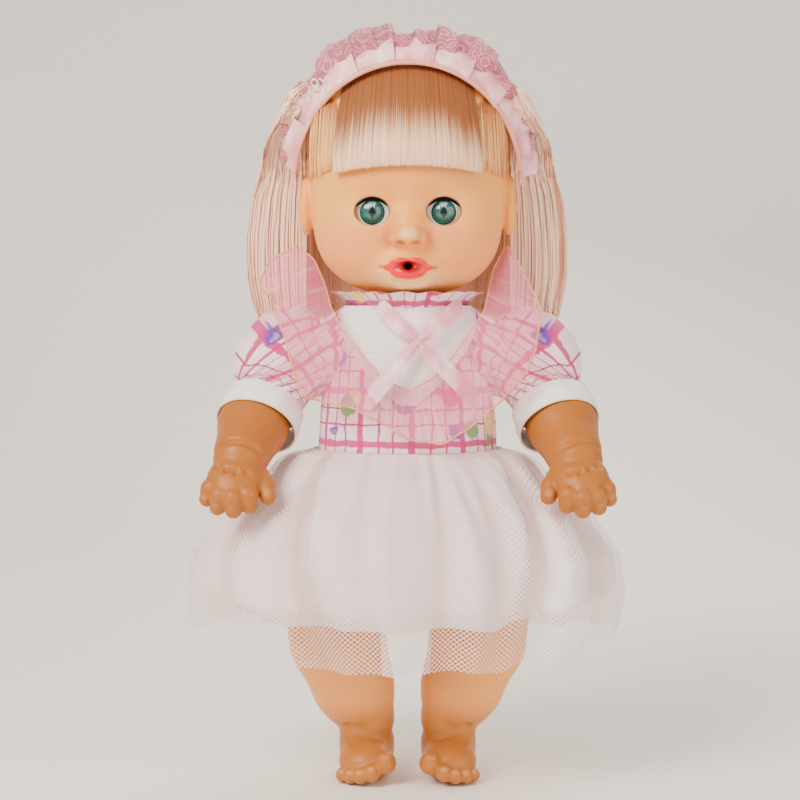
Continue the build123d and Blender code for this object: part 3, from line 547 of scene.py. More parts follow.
def make_lash(name, center):
    """A strip along the upper lid, thick at its roots, with a combed edge."""
    lash = Paint(f"lash_{name}_paint", (0.004, 0.003, 0.003), rough=0.8, specular_ior_level=0.15)
    lash.bump(lash.noise(900.0), 0.1)
    points, faces = [], []
    columns = 49
    for j in range(columns):
        across = -1.0 + 2.0 * j / (columns - 1)
        x = across * 8.4
        comb = 0.35 * (j % 2)
        low_edge = math.radians(31.5 - 13.5 * across * across)
        high_edge = math.radians(47.0 - 24.0 * across * across)
        arc = math.sqrt(max(BALL_RADIUS ** 2 - (x * 0.93) ** 2, 1.0))
        tip = 0.7 + (0.9 + comb) * (1.0 - 0.55 * across * across)
        rows = (
            (low_edge, arc + 0.05), (high_edge, arc + 0.05),
            (high_edge, arc + 0.30), ((low_edge + high_edge) / 2, arc + tip * 0.75),
            (low_edge + 0.04, arc + tip), (low_edge, arc + 0.30),
        )
        for angle_up, reach in rows:
            points.append(center + np.array([x, -reach * math.cos(angle_up), reach * math.sin(angle_up)]))
    rows_count = 6
    for j in range(columns - 1):
        for i in range(rows_count):
            k = (i + 1) % rows_count
            a, b = j * rows_count, (j + 1) * rows_count
            faces.append((a + i, a + k, b + k, b + i))
    faces.append(tuple(range(rows_count)))
    faces.append(tuple((columns - 1) * rows_count + i for i in reversed(range(rows_count))))
    shape = piece(f"lashes_{name}", points, faces)
    finish_piece(shape, lash, f"eye_{name}", "lash", f"eyelash_{name}")


def edit(shape, change):
    """Opens the mesh, lets change work on it and keeps the result."""
    work = bmesh.new()
    work.from_mesh(shape.data)
    change(work)
    work.to_mesh(shape.data)
    work.free()


def merge_doubles(work):
    """Joins points that lie in one place, as at a ball's poles."""
    bmesh.ops.remove_doubles(work, verts=work.verts, dist=0.00001)
    bmesh.ops.recalc_face_normals(work, faces=work.faces)


# ---------------------------------------------------------------- arms and legs
def unit(vector):
    vector = np.array(vector, float)
    return vector / np.linalg.norm(vector)


def units(vectors):
    """Each of many vectors at length 1."""
    return vectors / np.maximum(np.linalg.norm(vectors, axis=-1, keepdims=True), 1e-9)


def ease(t):
    """0 to 1 with a slow start and a slow end."""
    return t * t * (3 - 2 * t)


def chain(p, stations, k):
    """Bars from station to station, each a point and a radius."""
    d = None
    for (start, r0), (end, r1) in zip(stations, stations[1:]):
        part = bone(p, start, end, r0, r1)
        d = part if d is None else join(d, part, k)
    return d


def hand_frame(wrist, along):
    """Axes of the hand: along the fingers, towards the little finger, and out of its back."""
    along = unit(along)
    across = np.array([1.0, 0.0, 0.0]) - along[0] * along
    across = unit(across)
    back = -np.cross(across, along)
    return np.array(wrist, float), np.stack([along, across, back])


ARM_STATIONS = (((47, 7, 222), 13.0), ((72, 4, 200), 16.0), ((79, -12, 185), 17.2), ((84, -33, 170), 14.0))
ARM_END_X = 33.4
WRIST, HAND_AXES = hand_frame((84, -36, 167), (0.20, -0.78, -0.59))
FINGERS = (  # base, middle and tip in the hand's own axes, then radius at base and tip
    ((15, -7.6, 0.5), (21, -9.6, -0.5), (23, -10.6, -5.0), 5.0, 4.3),
    ((17, -2.6, 1.2), (25, -3.2, 0.0), (27.5, -3.8, -5.5), 5.0, 4.2),
    ((16, 2.8, 1.0), (24, 3.8, -0.5), (26.5, 4.6, -6.0), 4.9, 4.1),
    ((13, 7.8, 0.0), (19, 10.2, -1.5), (21.5, 11.6, -6.5), 4.5, 3.8),
    ((3, -10.5, -3.0), (10, -15.5, -4.0), (15.5, -18.0, -4.5), 5.0, 4.2),
)


def arm_field(p):
    """The left arm and hand, cut flat where it meets the torso."""
    d = chain(p, ARM_STATIONS, 5.0)
    h = (p - WRIST) @ HAND_AXES.T
    palm = join(egg(h, (11, 0, 0), (14.5, 13.5, 9.5)), egg(h, (9, -6, -3), (9, 8, 7)), 5.0)
    d = join(d, palm, 2.2)
    crease = np.hypot(np.hypot(h[:, 1] * 0.95, h[:, 2] + 1.5) - 14.6, h[:, 0] + 1.5) - 0.8
    d = carve(d, crease, 3.4)
    for base, middle, tip, r0, r1 in FINGERS:
        finger = join(bone(h, base, middle, r0, r0 * 0.97), bone(h, middle, tip, r0 * 0.97, r1), 2.0)
        d = join(d, finger, 1.3)
        fold = np.array(middle) + np.array([-1.0, 0.0, r0 * 0.95])
        d = carve(d, bone(h, fold - np.array([0, 3.0, 0.6]), fold + np.array([0, 3.0, -0.6]), 0.3, 0.3), 1.1)
        d = join(d, egg(h, nail_at(tip, r1), (2.1, 1.8, 0.45)), 0.5)
    for base, middle, _, r0, _ in FINGERS[:4]:
        dimple = np.array(base) + np.array([-1.5, 0.0, 8.6])
        d = carve(d, egg(h, dimple, (1.8, 1.6, 3.0)), 2.0)
    shoulder = np.hypot(p[:, 1] - SHOULDER_Y, p[:, 2] - SHOULDER_Z)
    flange = np.maximum(shoulder - 9.0, np.maximum(p[:, 0] - 47, ARM_END_X - p[:, 0]))
    d = join(d, flange, 2.0)
    return np.maximum(d, ARM_END_X - p[:, 0])


LEG_STATIONS = (
    ((40, 7, 124), 21.5), ((40, 6, 98), 24.5), ((36.5, 6, 71), 23.8), ((28.5, 8, 47), 20.0), ((21.6, 9.5, 30), 14.6),
)
TOES = (  # middle and radius of each
    (11.6, -18.5, 11.5, 6.0), (18.6, -22.0, 7.2, 4.7), (24.4, -21.0, 5.6, 4.3), (29.6, -18.0, 4.8, 4.0),
    (33.8, -13.5, 4.2, 3.6),
)


def leg_field(p):
    """The left leg and foot, cut flat at the floor and beside the torso."""
    d = chain(p, LEG_STATIONS, 8.0)
    foot = join(egg(p, (21.5, 8, 10.5), (13.6, 21.0, 13.0)), egg(p, (21.5, -8, 10.0), (14.0, 13.5, 10.0)), 6.0)
    foot = join(foot, egg(p, (21.5, 9.5, 22), (13.6, 14.0, 14)), 8.0)
    d = join(d, foot, 3.0)
    q = p - np.array([21.5, 9, 28])
    tilt = q @ unit((-0.40, -0.28, 1.0))
    crease = np.hypot(np.hypot(q[:, 0], q[:, 1]) - 15.6, tilt) - 0.8 + 2.2 * np.clip((q[:, 0] - 9.0) / 5.0, 0.0, 1.0)
    d = carve(d, crease, 3.8)
    second = np.hypot(np.hypot(q[:, 0], q[:, 1] + 3) - 15.2, tilt + 7.0) - 0.3
    d = carve(d, np.maximum(second, q[:, 1] + 4.0), 2.0)
    for x, y, z, r in TOES:
        d = join(d, egg(p, (x, y, z), (r * 0.95, r * 1.25, r)), 1.5)
        d = join(d, egg(p, (x, y - r * 0.92, z + r * 0.62), (r * 0.5, r * 0.38, r * 0.3)), 0.4)
    d = np.maximum(d, np.where(p[:, 2] > 90, (22.4 - p[:, 0]) * np.clip((p[:, 2] - 90) / 8, 0, 1), -1e3))
    return np.maximum(d, -p[:, 2])


def nail_at(tip, radius):
    """The middle of a finger nail in the hand's own axes."""
    return np.array(tip) + np.array([1.4, 0.0, radius * 0.86])


def make_limbs():
    """Both arms and both legs: the left ones from their fields, the right ones mirrored."""
    arm_paint = vinyl("arm_vinyl", (0.43, 0.14, 0.018), (0.40, 0.12, 0.014))
    arm_paint.tint(arm_paint.noise(9.0), (0.31, 0.085, 0.010), 0.35)
    leg_paint = vinyl("leg_vinyl", (0.93, 0.40, 0.10), (0.89, 0.34, 0.07))
    leg_paint.tint(leg_paint.noise(9.0), (0.74, 0.25, 0.045), 0.35)
    foot = leg_paint.step(leg_paint.axis(2), 0.045, 0.020)
    leg_paint.tint(foot, (0.43, 0.135, 0.016), 0.88)
    for side in (1, -1):
        for x, y, z, r in TOES:
            nail = leg_paint.blob((side * x, y - r * 0.9, z + r * 0.62), (r * 0.5, 2, r * 0.32), 0.4)
            leg_paint.tint(nail, (0.80, 0.40, 0.18), 0.45)
        for _, _, tip, _, r in FINGERS:
            nail = WRIST + nail_at(tip, r) @ HAND_AXES
            nail[0] *= side
            arm_paint.tint(arm_paint.blob(nail, (2.0, 2.0, 2.0), 0.4), (0.72, 0.34, 0.12), 0.35)
    step = 1.0
    reach = 3.0
    arm_low, arm_high = node_box("arm_left")
    leg_low, leg_high = node_box("leg_left")
    arm = solid("arm_skin_left", arm_field, arm_low - 2 * reach, arm_high + 3 * reach, step)
    leg = solid("leg_skin_left", leg_field, leg_low - 3 * reach, leg_high + 2 * reach, step)
    for shape, paint, part in ((arm, arm_paint, "arm"), (leg, leg_paint, "leg")):
        finish_piece(shape, paint, f"{part}_left", "vinyl_limbs", f"{part}_left")
        other = flipped(shape, f"{part}_skin_right")
        finish_piece(other, paint, f"{part}_right", "vinyl_limbs", f"{part}_right")


def points_of(shape):
    """A mesh's points in millimetres."""
    points = np.empty(len(shape.data.vertices) * 3, np.float32)
    shape.data.vertices.foreach_get("co", points)
    return points.reshape(-1, 3) / MM


def flipped(shape, name):
    """The same mesh on the other side of the doll."""
    mesh = shape.data
    points = points_of(shape)
    points[:, 0] *= -1
    faces = [tuple(reversed(face.vertices)) for face in mesh.polygons]
    other = piece(name, points, faces)
    for layer in mesh.attributes:
        if layer.domain == "POINT" and layer.data_type == "FLOAT":
            values = np.empty(len(points), np.float32)
            layer.data.foreach_get("value", values)
            store(other, layer.name, values)
    return other


# ---------------------------------------------------------------- hair
def table(z, rows):
    """Values between the rows of a table whose first column is a height."""
    rows = np.array(sorted(rows))
    return [np.interp(z, rows[:, 0], rows[:, i]) for i in range(1, rows.shape[1])]


FALL = (  # height, half width and half depth of the long hair
    (242, 84, 60), (262, 88, 65), (282, 88, 67), (305, 85, 68), (322, 78, 66), (339, 70, 63), (355, 63, 56),
    (366, 46, 46), (373, 31, 33), (377, 14, 16), (378.5, 2, 2),
)
FALL_Y = 12.0


def head_radius(z, grow):
    inside = np.clip(1.0 - ((z - HEAD[2]) / (HEAD_HALF_HEIGHT + grow)) ** 2, 0.0, 1.0)
    return (HEAD_RADIUS + grow) * np.sqrt(inside)


def fall_point(turn, z, layer):
    """A point of the long hair: turn is the angle from the doll's left, layer 0 inside to 1 outside."""
    wide, deep = table(z, FALL)
    scalp = np.where(z > HEAD[2], head_radius(z, 3.0), HEAD_RADIUS + 3.0)
    wide = scalp + (np.maximum(wide, scalp) - scalp) * layer
    deep = scalp + (np.maximum(deep, scalp) - scalp) * layer
    low_turn = math.pi / 2 + (turn - math.pi / 2) * 0.66
    t = np.clip((348.0 - z) / 34.0, 0.0, 1.0)
    turn = turn + (low_turn - turn) * ease(t)
    return np.stack([wide * np.cos(turn), FALL_Y + deep * np.sin(turn), z + 0 * turn], axis=-1)


def ribbons(name, paths, widths, normals_from, seed_values):
    """Hair as flat ribbons: paths is strands x points x 3."""
    strands, count, _ = paths.shape
    along = np.gradient(paths, axis=1)
    away = paths - normals_from
    twist = random.uniform(-0.3, 0.3, (strands, 1, 1))
    side = units(np.cross(along, away)) + units(away) * twist
    taper = np.ones(count)
    taper[-2:] = (0.85, 0.35)
    half = widths[:, None, None] * taper[None, :, None] / 2
    points = np.stack([paths - side * half, paths + side * half], axis=2).reshape(-1, 3)
    start = (np.arange(strands) * count * 2)[:, None] + np.arange(count - 1)[None, :] * 2
    start = start.ravel()
    faces = np.stack([start, start + 1, start + 3, start + 2], axis=1)
    shape = piece(name, points, faces)
    store(shape, "strand", np.repeat(seed_values, count * 2))
    store(shape, "along", np.tile(np.repeat(np.linspace(0, 1, count), 2), strands))
    return shape


def hair_paint(name, light, mid, deep, root=0.0, shadow=(0.66, 0.26, 0.07)):
    """Hair whose strands differ from light to deep, with a shadow over the root share of their length."""
    paint = Paint(name, mid, rough=0.36, sheen_weight=0.12, sheen_roughness=0.3)
    strand, along = paint.attribute("strand"), paint.attribute("along")
    paint.tint(paint.step(strand, 0.45, 1.0), light, 0.9)
    paint.tint(paint.step(strand, 0.35, 0.0), deep, 0.75)
    paint.tint(paint.step(along, root, 0.0), shadow, 0.75 if root else 0.0)
    fine = paint.noise(1.0, 2.0, paint.scaled(1900.0, 1900.0, 60.0))
    paint.tint(fine, deep, 0.22)
    paint.rough(fine, 0.26, 0.40)
    return paint


def make_fall(paint):
    """The long hair from the crown down behind the ears. The first strands fill its two front edges."""
    count = 14
    strands = 7000
    low_turn, high_turn = math.radians(-22), math.radians(202)
    edge = int(strands * 0.42)
    turn = random.uniform(low_turn, high_turn, strands)
    layer = 1.0 - 0.16 * random.random(strands) ** 2
    sides = random.random(edge) < 0.5
    near = np.abs(random.normal(0.0, 0.16, edge))
    turn[:edge] = np.where(sides, low_turn + near, high_turn - near)
    layer[:edge] = random.uniform(0.05, 1.0, edge)
    top = random.uniform(352.0, 377.0, strands)
    bottom = 239.0 + 9.0 * random.random(strands) ** 2 + 3.0 * np.sin(turn * 9.0)
    t = np.linspace(0.0, 1.0, count)[None, :]
    z = top[:, None] + (bottom - top)[:, None] * t
    # locks: strands near each other swing together and lie a little deeper or higher
    lock = np.sin(turn[:, None] * 23.0 + t * 5.0) + 0.6 * np.sin(turn[:, None] * 41.0 + 2.0 + t * 3.0)
    drift = random.normal(0.0, 0.012, (strands, 1)) * (t * 2.0) + 0.012 * np.sin(
        t * 7.0 + 6.0 * random.random((strands, 1)))
    depth = layer[:, None] * (1.0 + 0.014 * lock * t)
    paths = fall_point(turn[:, None] + drift, z, depth)
    shade = np.clip(0.58 + 0.16 * lock.mean(axis=1) + random.normal(0.0, 0.17, strands), 0, 1)
    # painted shade: strands of the front edges that lie deeper inside the hair get darker tones
    shade[:edge] *= np.clip(0.35 + layer[:edge], 0, 1)
    widths = random.uniform(0.65, 1.45, strands)
    # the flat side of a strand faces away from here: the middle of the hair, or a point behind it at the edges
    center = np.stack([0 * z, 0 * z + FALL_Y, np.minimum(z, 350.0)], axis=-1)
    center[:edge] = paths[:edge] * np.array([0.72, 1.0, 1.0]) + np.array([0.0, 40.0, 0.0])
    fall = ribbons("hair_strands", paths, widths, center, shade)
    finish_piece(fall, paint, "head", "hair", "hair_fall")


def make_underlayer():
    """A closed layer under the long hair, so that no gap between strands shows the head."""
    under = hair_paint("hair_under_paint", (1.0, 0.74, 0.58), (1.0, 0.64, 0.46), (0.92, 0.50, 0.32))
    across, down = 90, 40
    top_z, low_z = 378.3, 247.0
    u, v = unit_grid(across, down)
    edge_in = 0.12  # share of the width over which each side edge turns in to the scalp
    spread = np.clip((u - edge_in) / (1 - 2 * edge_in), 0, 1)
    layer_in = np.clip(np.minimum(u, 1 - u) / edge_in, 0.02, 1.0) * 0.86
    turns = math.radians(-14) + math.radians(208) * spread
    height = top_z + (low_z - top_z) * v
    points = fall_point(turns, height, layer_in).reshape(-1, 3)
    base = piece("hair_underlayer", points, grid_faces(across, down))
    store(base, "strand", 0.5 + 0.5 * np.sin(u.ravel() * 160.0))
    store(base, "along", v.ravel())
    finish_piece(base, under, "head", "hair", "hair_crown")


def make_crown(paint):
    """Strands combed straight back over the top of the head, from the fringe to the long hair."""
    strands = 3000
    x = random.uniform(-47.0, 47.0, strands)
    start = np.radians(random.uniform(-36.0, -8.0, strands))
    turn = start[:, None] + (np.radians(52.0) - start)[:, None] * np.linspace(0.0, 1.0, 14)[None, :]
    rise = np.clip((np.degrees(turn) + 24.0) / 30.0, 0.0, 1.0)
    grow = 1.0 + 3.2 * ease(rise) + random.uniform(0.0, 1.0, strands)[:, None]
    x = x[:, None] * (1.0 + 0.12 * rise)
    inside = np.sqrt(np.clip(1.0 - (x / (HEAD_RADIUS + grow)) ** 2, 0.01, 1.0))
    y = HEAD[1] + (HEAD_RADIUS + grow) * inside * np.sin(turn)
    z = HEAD[2] + (HEAD_HALF_HEIGHT + grow) * inside * np.cos(turn)
    paths = np.stack([x, y, z], axis=-1)
    shade = np.clip(0.55 + 0.15 * np.sin(x[:, 0] * 0.9) + random.normal(0, 0.18, strands), 0, 1)
    widths = random.uniform(0.7, 1.3, strands)
    shape = ribbons("crown_strands", paths, widths, np.broadcast_to(HEAD, paths.shape), shade)
    finish_piece(shape, paint, "head", "hair")


def scalp_path(x_low, x_high, z_low, z_high, offset, count):
    """Strands straight down the front of the head, between two heights."""
    t = np.linspace(0.0, 1.0, count)[None, :]
    z = z_high[:, None] + (z_low - z_high)[:, None] * t
    x = x_high[:, None] + (x_low - x_high)[:, None] * np.minimum(1.0, t * 1.25)
    radius = head_radius(z, offset)
    x = np.clip(x, -radius + 0.2, radius - 0.2)
    y = HEAD[1] - np.sqrt(np.maximum(radius ** 2 - x ** 2, 0.0))
    return np.stack([x, y, z], axis=-1)


def temple_swell(x, z):
    """How far the hair at the temples stands out from the head, to meet the headband."""
    return 7.0 * np.clip((np.abs(x) - 33.0) / 14.0, 0.0, 1.0) * np.clip((z - 320.0) / 24.0, 0.0, 1.0)


def make_fringe():
    """The blunt fringe, dark at its roots, with a painted highlight across its lower part, and ragged at its edge."""
    strands = 3200
    paint = Paint("fringe_paint", (0.86, 0.46, 0.20), rough=0.4, sheen_weight=0.05, specular_ior_level=0.25)
    strand, along = paint.attribute("strand"), paint.attribute("along")
    ragged = paint.times(paint.minus(strand, 0.5), 0.22)
    # the painted highlight band and the dark roots reach lower towards the sides
    dip = paint.times(paint.math("POWER", paint.times(paint.axis(0), 1000.0 / 36.0), 2.0), 0.16)
    along = paint.minus(paint.plus(along, ragged), dip)
    paint.tint(paint.step(strand, 0.3, 1.0), (0.95, 0.60, 0.34), 0.6)
    # painted highlight: a pale band across the lower part of the fringe
    highlight_band = paint.step(along, 0.42, 0.72)
    paint.tint(paint.times(highlight_band, paint.step(strand, 0.0, 0.8, 0.55, 1.0)), (1.0, 0.64, 0.43), 0.85)
    paint.tint(paint.step(along, 0.84, 0.40), (0.24, 0.052, 0.001), 0.98)
    fine = paint.noise(1.0, 2.0, paint.scaled(2600.0, 2600.0, 40.0))
    paint.tint(fine, (0.66, 0.36, 0.18), 0.2)
    x = random.uniform(-37.0, 37.0, strands)
    bottom = 315.5 - 3.0 * (x / 36.0) ** 2 + random.normal(0.0, 0.35, strands)
    # strands gather in small clumps and lie lowest at the edges of each
    clump = np.round(x / 2.6 + random.normal(0, 0.25, strands)) * 2.6
    low_x = x + (clump - x) * 0.15
    offset = 3.4 + random.uniform(0.0, 1.5, strands) - 0.14 * np.abs(x - clump)
    paths = scalp_path(low_x, x * 0.86, bottom, np.full(strands, 367.0), offset[:, None], 14)
    shade = np.clip(0.55 + 0.12 * np.sin(clump * 12.9) + random.normal(0, 0.22, strands), 0, 1)
    center = paths.copy()
    center[..., 0] *= 0.2
    center[..., 1] = HEAD[1]
    center[..., 2] = np.minimum(center[..., 2], 330.0)
    shape = ribbons("fringe_strands", paths, random.uniform(0.5, 0.95, strands), center, shade)
    finish_piece(shape, paint, "head", "hair", "hair_fringe")


def make_temples():
    """The hair at the temples, and the thin layer on the scalp under it and under the fringe."""
    strands = 1800
    golden = hair_paint("temple_hair_paint", (0.98, 0.60, 0.28), (0.93, 0.47, 0.16), (0.76, 0.32, 0.08), 0.4,
                        (0.72, 0.30, 0.07))
    golden.tint(golden.step(golden.attribute("along"), 0.6, 1.0), (0.99, 0.46, 0.12), 0.85)
    side = np.where(random.random(strands) < 0.5, -1.0, 1.0)
    x = side * random.uniform(24.0, 53.0, strands)
    bottom = 316.0 - 6.0 * (np.abs(x) - 30.0) / 20.0 + np.abs(random.normal(0.0, 3.5, strands))
    offset = random.uniform(0.4, 1.7, strands)
    top = 364.0 - (np.abs(x) - 26.0) * 0.6
    z = top[:, None] + (bottom - top)[:, None] * np.linspace(0.0, 1.0, 12)[None, :]
    paths = scalp_path(x, x * 0.96, bottom, top, offset[:, None] + temple_swell(x[:, None], z), 12)
    center = paths.copy()
    center[..., :2] = HEAD[:2]
    shape = ribbons("temple_strands", paths, random.uniform(0.7, 1.2, strands), center, random.random(strands))
    finish_piece(shape, golden, "head", "hair")

    across, down = 60, 24
    top_z, low_z = 374.0, 318.0
    u, v = unit_grid(across, down)
    turns = math.radians(180) * (1 + u) - math.radians(6) * (1 - 2 * u)
    z = top_z + (low_z - top_z) * v
    radius = head_radius(z, 0.9 + 0.85 * temple_swell(50.0 * np.cos(turns), z))
    y = HEAD[1] + radius * np.sin(turns)
    points = np.stack([radius * np.cos(turns), y, z], axis=-1).reshape(-1, 3)
    scalp = piece("scalp_hair", points, grid_faces(across, down, flip=True))
    store(scalp, "strand", 0.5 + 0.5 * np.sin(u.ravel() * 400.0))
    store(scalp, "along", v.ravel())
    finish_piece(scalp, golden, "head", "hair")


def make_hair():
    light, mid, deep = (1.0, 0.76, 0.59), (1.0, 0.64, 0.45), (0.94, 0.50, 0.31)
    paint = hair_paint("hair_fall_paint", light, mid, deep, 0.10, (0.95, 0.52, 0.32))
    make_fall(paint)
    make_underlayer()
    make_crown(paint)
    make_fringe()
    make_temples()


# ---------------------------------------------------------------- headband
BAND_TILT = math.radians(24.0)
BAND_START, BAND_END = math.radians(6), math.radians(174)
BAND_HALF = (57.6, 64.5)
BAND_CENTER = np.array([0.0, 7.0, 311.0])


def band_point(turn, out, back):
    """A point of the headband: turn from the doll's left over the top, out from the head, back across it."""
    wide, high = BAND_HALF[0] + out, BAND_HALF[1] + out
    rise = high * np.sin(turn)
    x = wide * np.cos(turn)
    y = BAND_CENTER[1] - rise * math.sin(BAND_TILT) + back * math.cos(BAND_TILT)
    z = BAND_CENTER[2] + rise * math.cos(BAND_TILT) + back * math.sin(BAND_TILT)
    return np.stack([x, y, z], axis=-1)


def sheet(name, at, across, down, size):
    """A sheet of cloth: at(u, v) gives its points, and size is what it was cut to, in millimetres."""
    u, v = unit_grid(across, down)
    points = at(u, v)
    rows = np.linalg.norm(np.diff(points, axis=1), axis=2).mean(axis=0)
    length = np.concatenate([[0.0], np.cumsum(rows)])
    shape = piece(name, points.reshape(-1, 3), grid_faces(across, down))
    store(shape, "u", u.ravel() * size[0])
    store(shape, "v", np.tile(length, across))
    return shape


def evened(at, dense=300):
    """The same sheet with its rows spread evenly down the cloth."""
    def even(u, v):
        across = len(u)
        w = np.tile(np.linspace(0.0, 1.0, dense), (across, 1))
        points = at(np.repeat(u[:, :1], dense, axis=1), w)
        steps = np.linalg.norm(np.diff(points, axis=1), axis=2)
        length = np.concatenate([np.zeros((across, 1)), np.cumsum(steps, axis=1)], axis=1)
        length /= length[:, -1:]
        result = np.empty((*v.shape, 3))
        for column in range(across):
            for i in range(3):
                result[column, :, i] = np.interp(v[column], length[column], points[column, :, i])
        return result

    return even


def cloth(shape, paint, body, slot, size, held, rests_on, *nodes):
    finish_piece(shape, paint, body, slot, *nodes)


def satin(name, color, shade):
    """Satin ribbon: painted streaks of highlight and shade along a fine weave."""
    paint = Paint(name, color, rough=0.30, sheen_weight=0.35, sheen_roughness=0.3, anisotropic=0.6)
    streak = paint.noise(1.0, 2.0, paint.scaled(110.0, 110.0, 60.0))
    # painted shade in some streaks and a painted highlight in others
    paint.tint(paint.step(streak, 0.46, 0.62), shade, 0.6)
    paint.tint(paint.step(streak, 0.44, 0.34), (1.0, 0.93, 0.92), 0.6)
    paint.rough(paint.noise(220.0), 0.24, 0.42)
    paint.weave(0.5, 0.02)
    return paint


def tube(name, path, radius, sides=8, closed=False):
    """A round cord or wire sewn along a path."""
    path = np.asarray(path, float)
    along = np.gradient(path, axis=0) if not closed else np.roll(path, -1, 0) - np.roll(path, 1, 0)
    along = units(along)
    guide = np.tile([0.13, 0.31, 0.94], (len(path), 1))  # any direction that no path here follows
    first = units(np.cross(along, guide))
    second = np.cross(along, first)
    angle = np.linspace(0, 2 * math.pi, sides, endpoint=False)
    ring = circle(angle[None, :, None], first[:, None], second[:, None])
    points = (path[:, None] + radius * ring).reshape(-1, 3)
    faces = []
    count = len(path)
    for i in range(count if closed else count - 1):
        for j in range(sides):
            k, n = (j + 1) % sides, (i + 1) % count
            faces.append((i * sides + j, i * sides + k, n * sides + k, n * sides + j))
    if not closed:
        faces += [tuple(range(sides))[::-1], tuple((count - 1) * sides + j for j in range(sides))]
    return piece(name, points, faces)


PLEATS = 9


def make_ribbon():
    """The overlapping pleats of the ribbon, the piping at their edge and the cover of the band."""
    pink = satin("band_satin", (0.98, 0.50, 0.52), (0.66, 0.16, 0.26))
    core = satin("band_core_satin", (0.96, 0.38, 0.26), (0.90, 0.28, 0.20))
    points, faces = [], []
    rows, columns = 9, 14
    span = (BAND_END - BAND_START) / PLEATS
    for number in range(PLEATS):
        first = BAND_END - span * number
        for i in range(columns):
            s = i / (columns - 1)
            turn = first - span * 1.16 * s
            lift = 1.4 + 3.4 * s ** 1.5 + 0.9 * math.sin(math.pi * s)
            for j in range(rows):
                w = j / (rows - 1)
                back = -6.4 + (12.0 + 1.0 * math.sin(number * 2.1)) * w
                crown = 1.2 * math.sin(math.pi * w) + 7.6 * w - 1.8 + 0.5 * math.sin(9.0 * s + 5.0 * w + number)
                rise = min(1.0, 2.2 * w)
                points.append(band_point(turn, 0.9 + (lift + crown - 0.9) * rise, back))
        faces.append(grid_faces(columns, rows, number * rows * columns, flip=True))
    pleats = piece("headband_pleats", points, np.concatenate(faces))
    cloth(pleats, pink, "headband", "pink_satin", (240.0, 13.0), "gathered", ["headband_core"], "headband_ribbon")

    turn = np.linspace(BAND_START, BAND_END, 120)
    edge = tube("headband_piping", band_point(turn, 0.7, -7.3 + 0 * turn), 1.15)
    finish_piece(edge, core, "headband", "pink_satin")
    bpy.data.objects["headband_core"].data.materials[0] = core.material


def make_lace():
    """Two ruffles of lace, the second lower and in front of the first."""
    lace = Paint("band_lace", (0.50, 0.13, 0.18), rough=0.7, sheen_weight=0.2)
    u, v = lace.attribute("u"), lace.attribute("v")
    spot = lace.node("ShaderNodeCombineXYZ", {0: u, 1: v}).outputs[0]
    cells = lace.node("ShaderNodeTexVoronoi", {"Vector": spot, "Scale": 0.85}, feature="DISTANCE_TO_EDGE").outputs[0]
    flowers = lace.node("ShaderNodeTexVoronoi", {"Vector": spot, "Scale": 0.16}).outputs["Distance"]
    loops = lace.sine(flowers, 26.0)
    thread = lace.most(lace.step(cells, 0.16, 0.07), lace.step(loops, 0.55, 0.8))
    lace.tint(lace.step(loops, 0.5, 0.8), (0.90, 0.38, 0.42), 0.8)
    lace.tint(lace.noise(120.0), (0.52, 0.11, 0.20), 0.45)
    lace.holes(lace.most(thread, 0.62))

    def ruffle(u, v):
        turn = BAND_START + (BAND_END - BAND_START) * u
        swing = np.sin(u * 2 * math.pi * 13 + 1.3 * np.sin(u * 13)) * (0.5 + 3.4 * v)
        small = 0.8 * np.sin(u * 2 * math.pi * 47 + 2.0) * v
        ends = np.clip(np.minimum(u, 1 - u) * 9, 0.35, 1.0)
        lumps = 1.0 + 0.22 * np.sin(u * 21.0 + 0.7) + 0.12 * np.sin(u * 47.0)
        out = 4.2 + 11.5 * v ** 0.85 * ends * lumps
        back = 3.0 + 4.5 * v + swing + small
        return band_point(turn + 0.025 * np.sin(u * 2 * math.pi * 19 + 2.0) * v, out, back)

    frill = sheet("headband_frill", ruffle, 520, 12, (235.0, 14.0))
    cloth(frill, lace, "headband", "pink_lace", (235.0, 14.0), "gathered", ["headband_core"], "headband_lace")

    def second(u, v):
        point = ruffle(u, v * 0.8)
        shift = np.sin(u * 2 * math.pi * 23 + 0.9) * 1.2 * v
        return point + np.stack([0 * u, -2.4 + shift, -0.7 * v + 0 * u], axis=-1)

    inner = sheet("headband_frill_front", second, 520, 10, (220.0, 10.0))
    cloth(inner, lace, "headband", "pink_lace", (220.0, 10.0), "gathered", ["headband_core"])


def make_flower():
    """A small cluster of cream thread loops on the doll's right."""
    cream = Paint("band_flower", (0.93, 0.80, 0.74), rough=0.6, sheen_weight=0.4)
    cream.bump(cream.noise(900.0), 0.15)
    loops = []
    for number in range(11):
        turn = math.radians(random.uniform(128, 142))
        at = band_point(np.array([turn]), np.array([5.0 + random.uniform(0, 4)]), np.array([random.uniform(-2, 5)]))[0]
        angle = np.linspace(0, 2 * math.pi, 18, endpoint=False)
        a, b = unit(random.normal(size=3)), unit(random.normal(size=3))
        b = unit(b - a * (a @ b))
        ring = at + 2.3 * circle(angle[:, None], a, b)
        loops.append(tube(f"headband_flower_{number}", ring, 0.42, 6, True))
    flower = merged("headband_flower", loops)
    finish_piece(flower, cream, "headband", "pink_lace")


def merged(name, shapes):
    """Several meshes as one piece."""
    points, faces, start = [], [], 0
    for shape in shapes:
        points.append(points_of(shape))
        faces += [tuple(start + i for i in face.vertices) for face in shape.data.polygons]
        start += len(points[-1])
        bpy.data.objects.remove(shape)
    return piece(name, np.concatenate(points), faces)


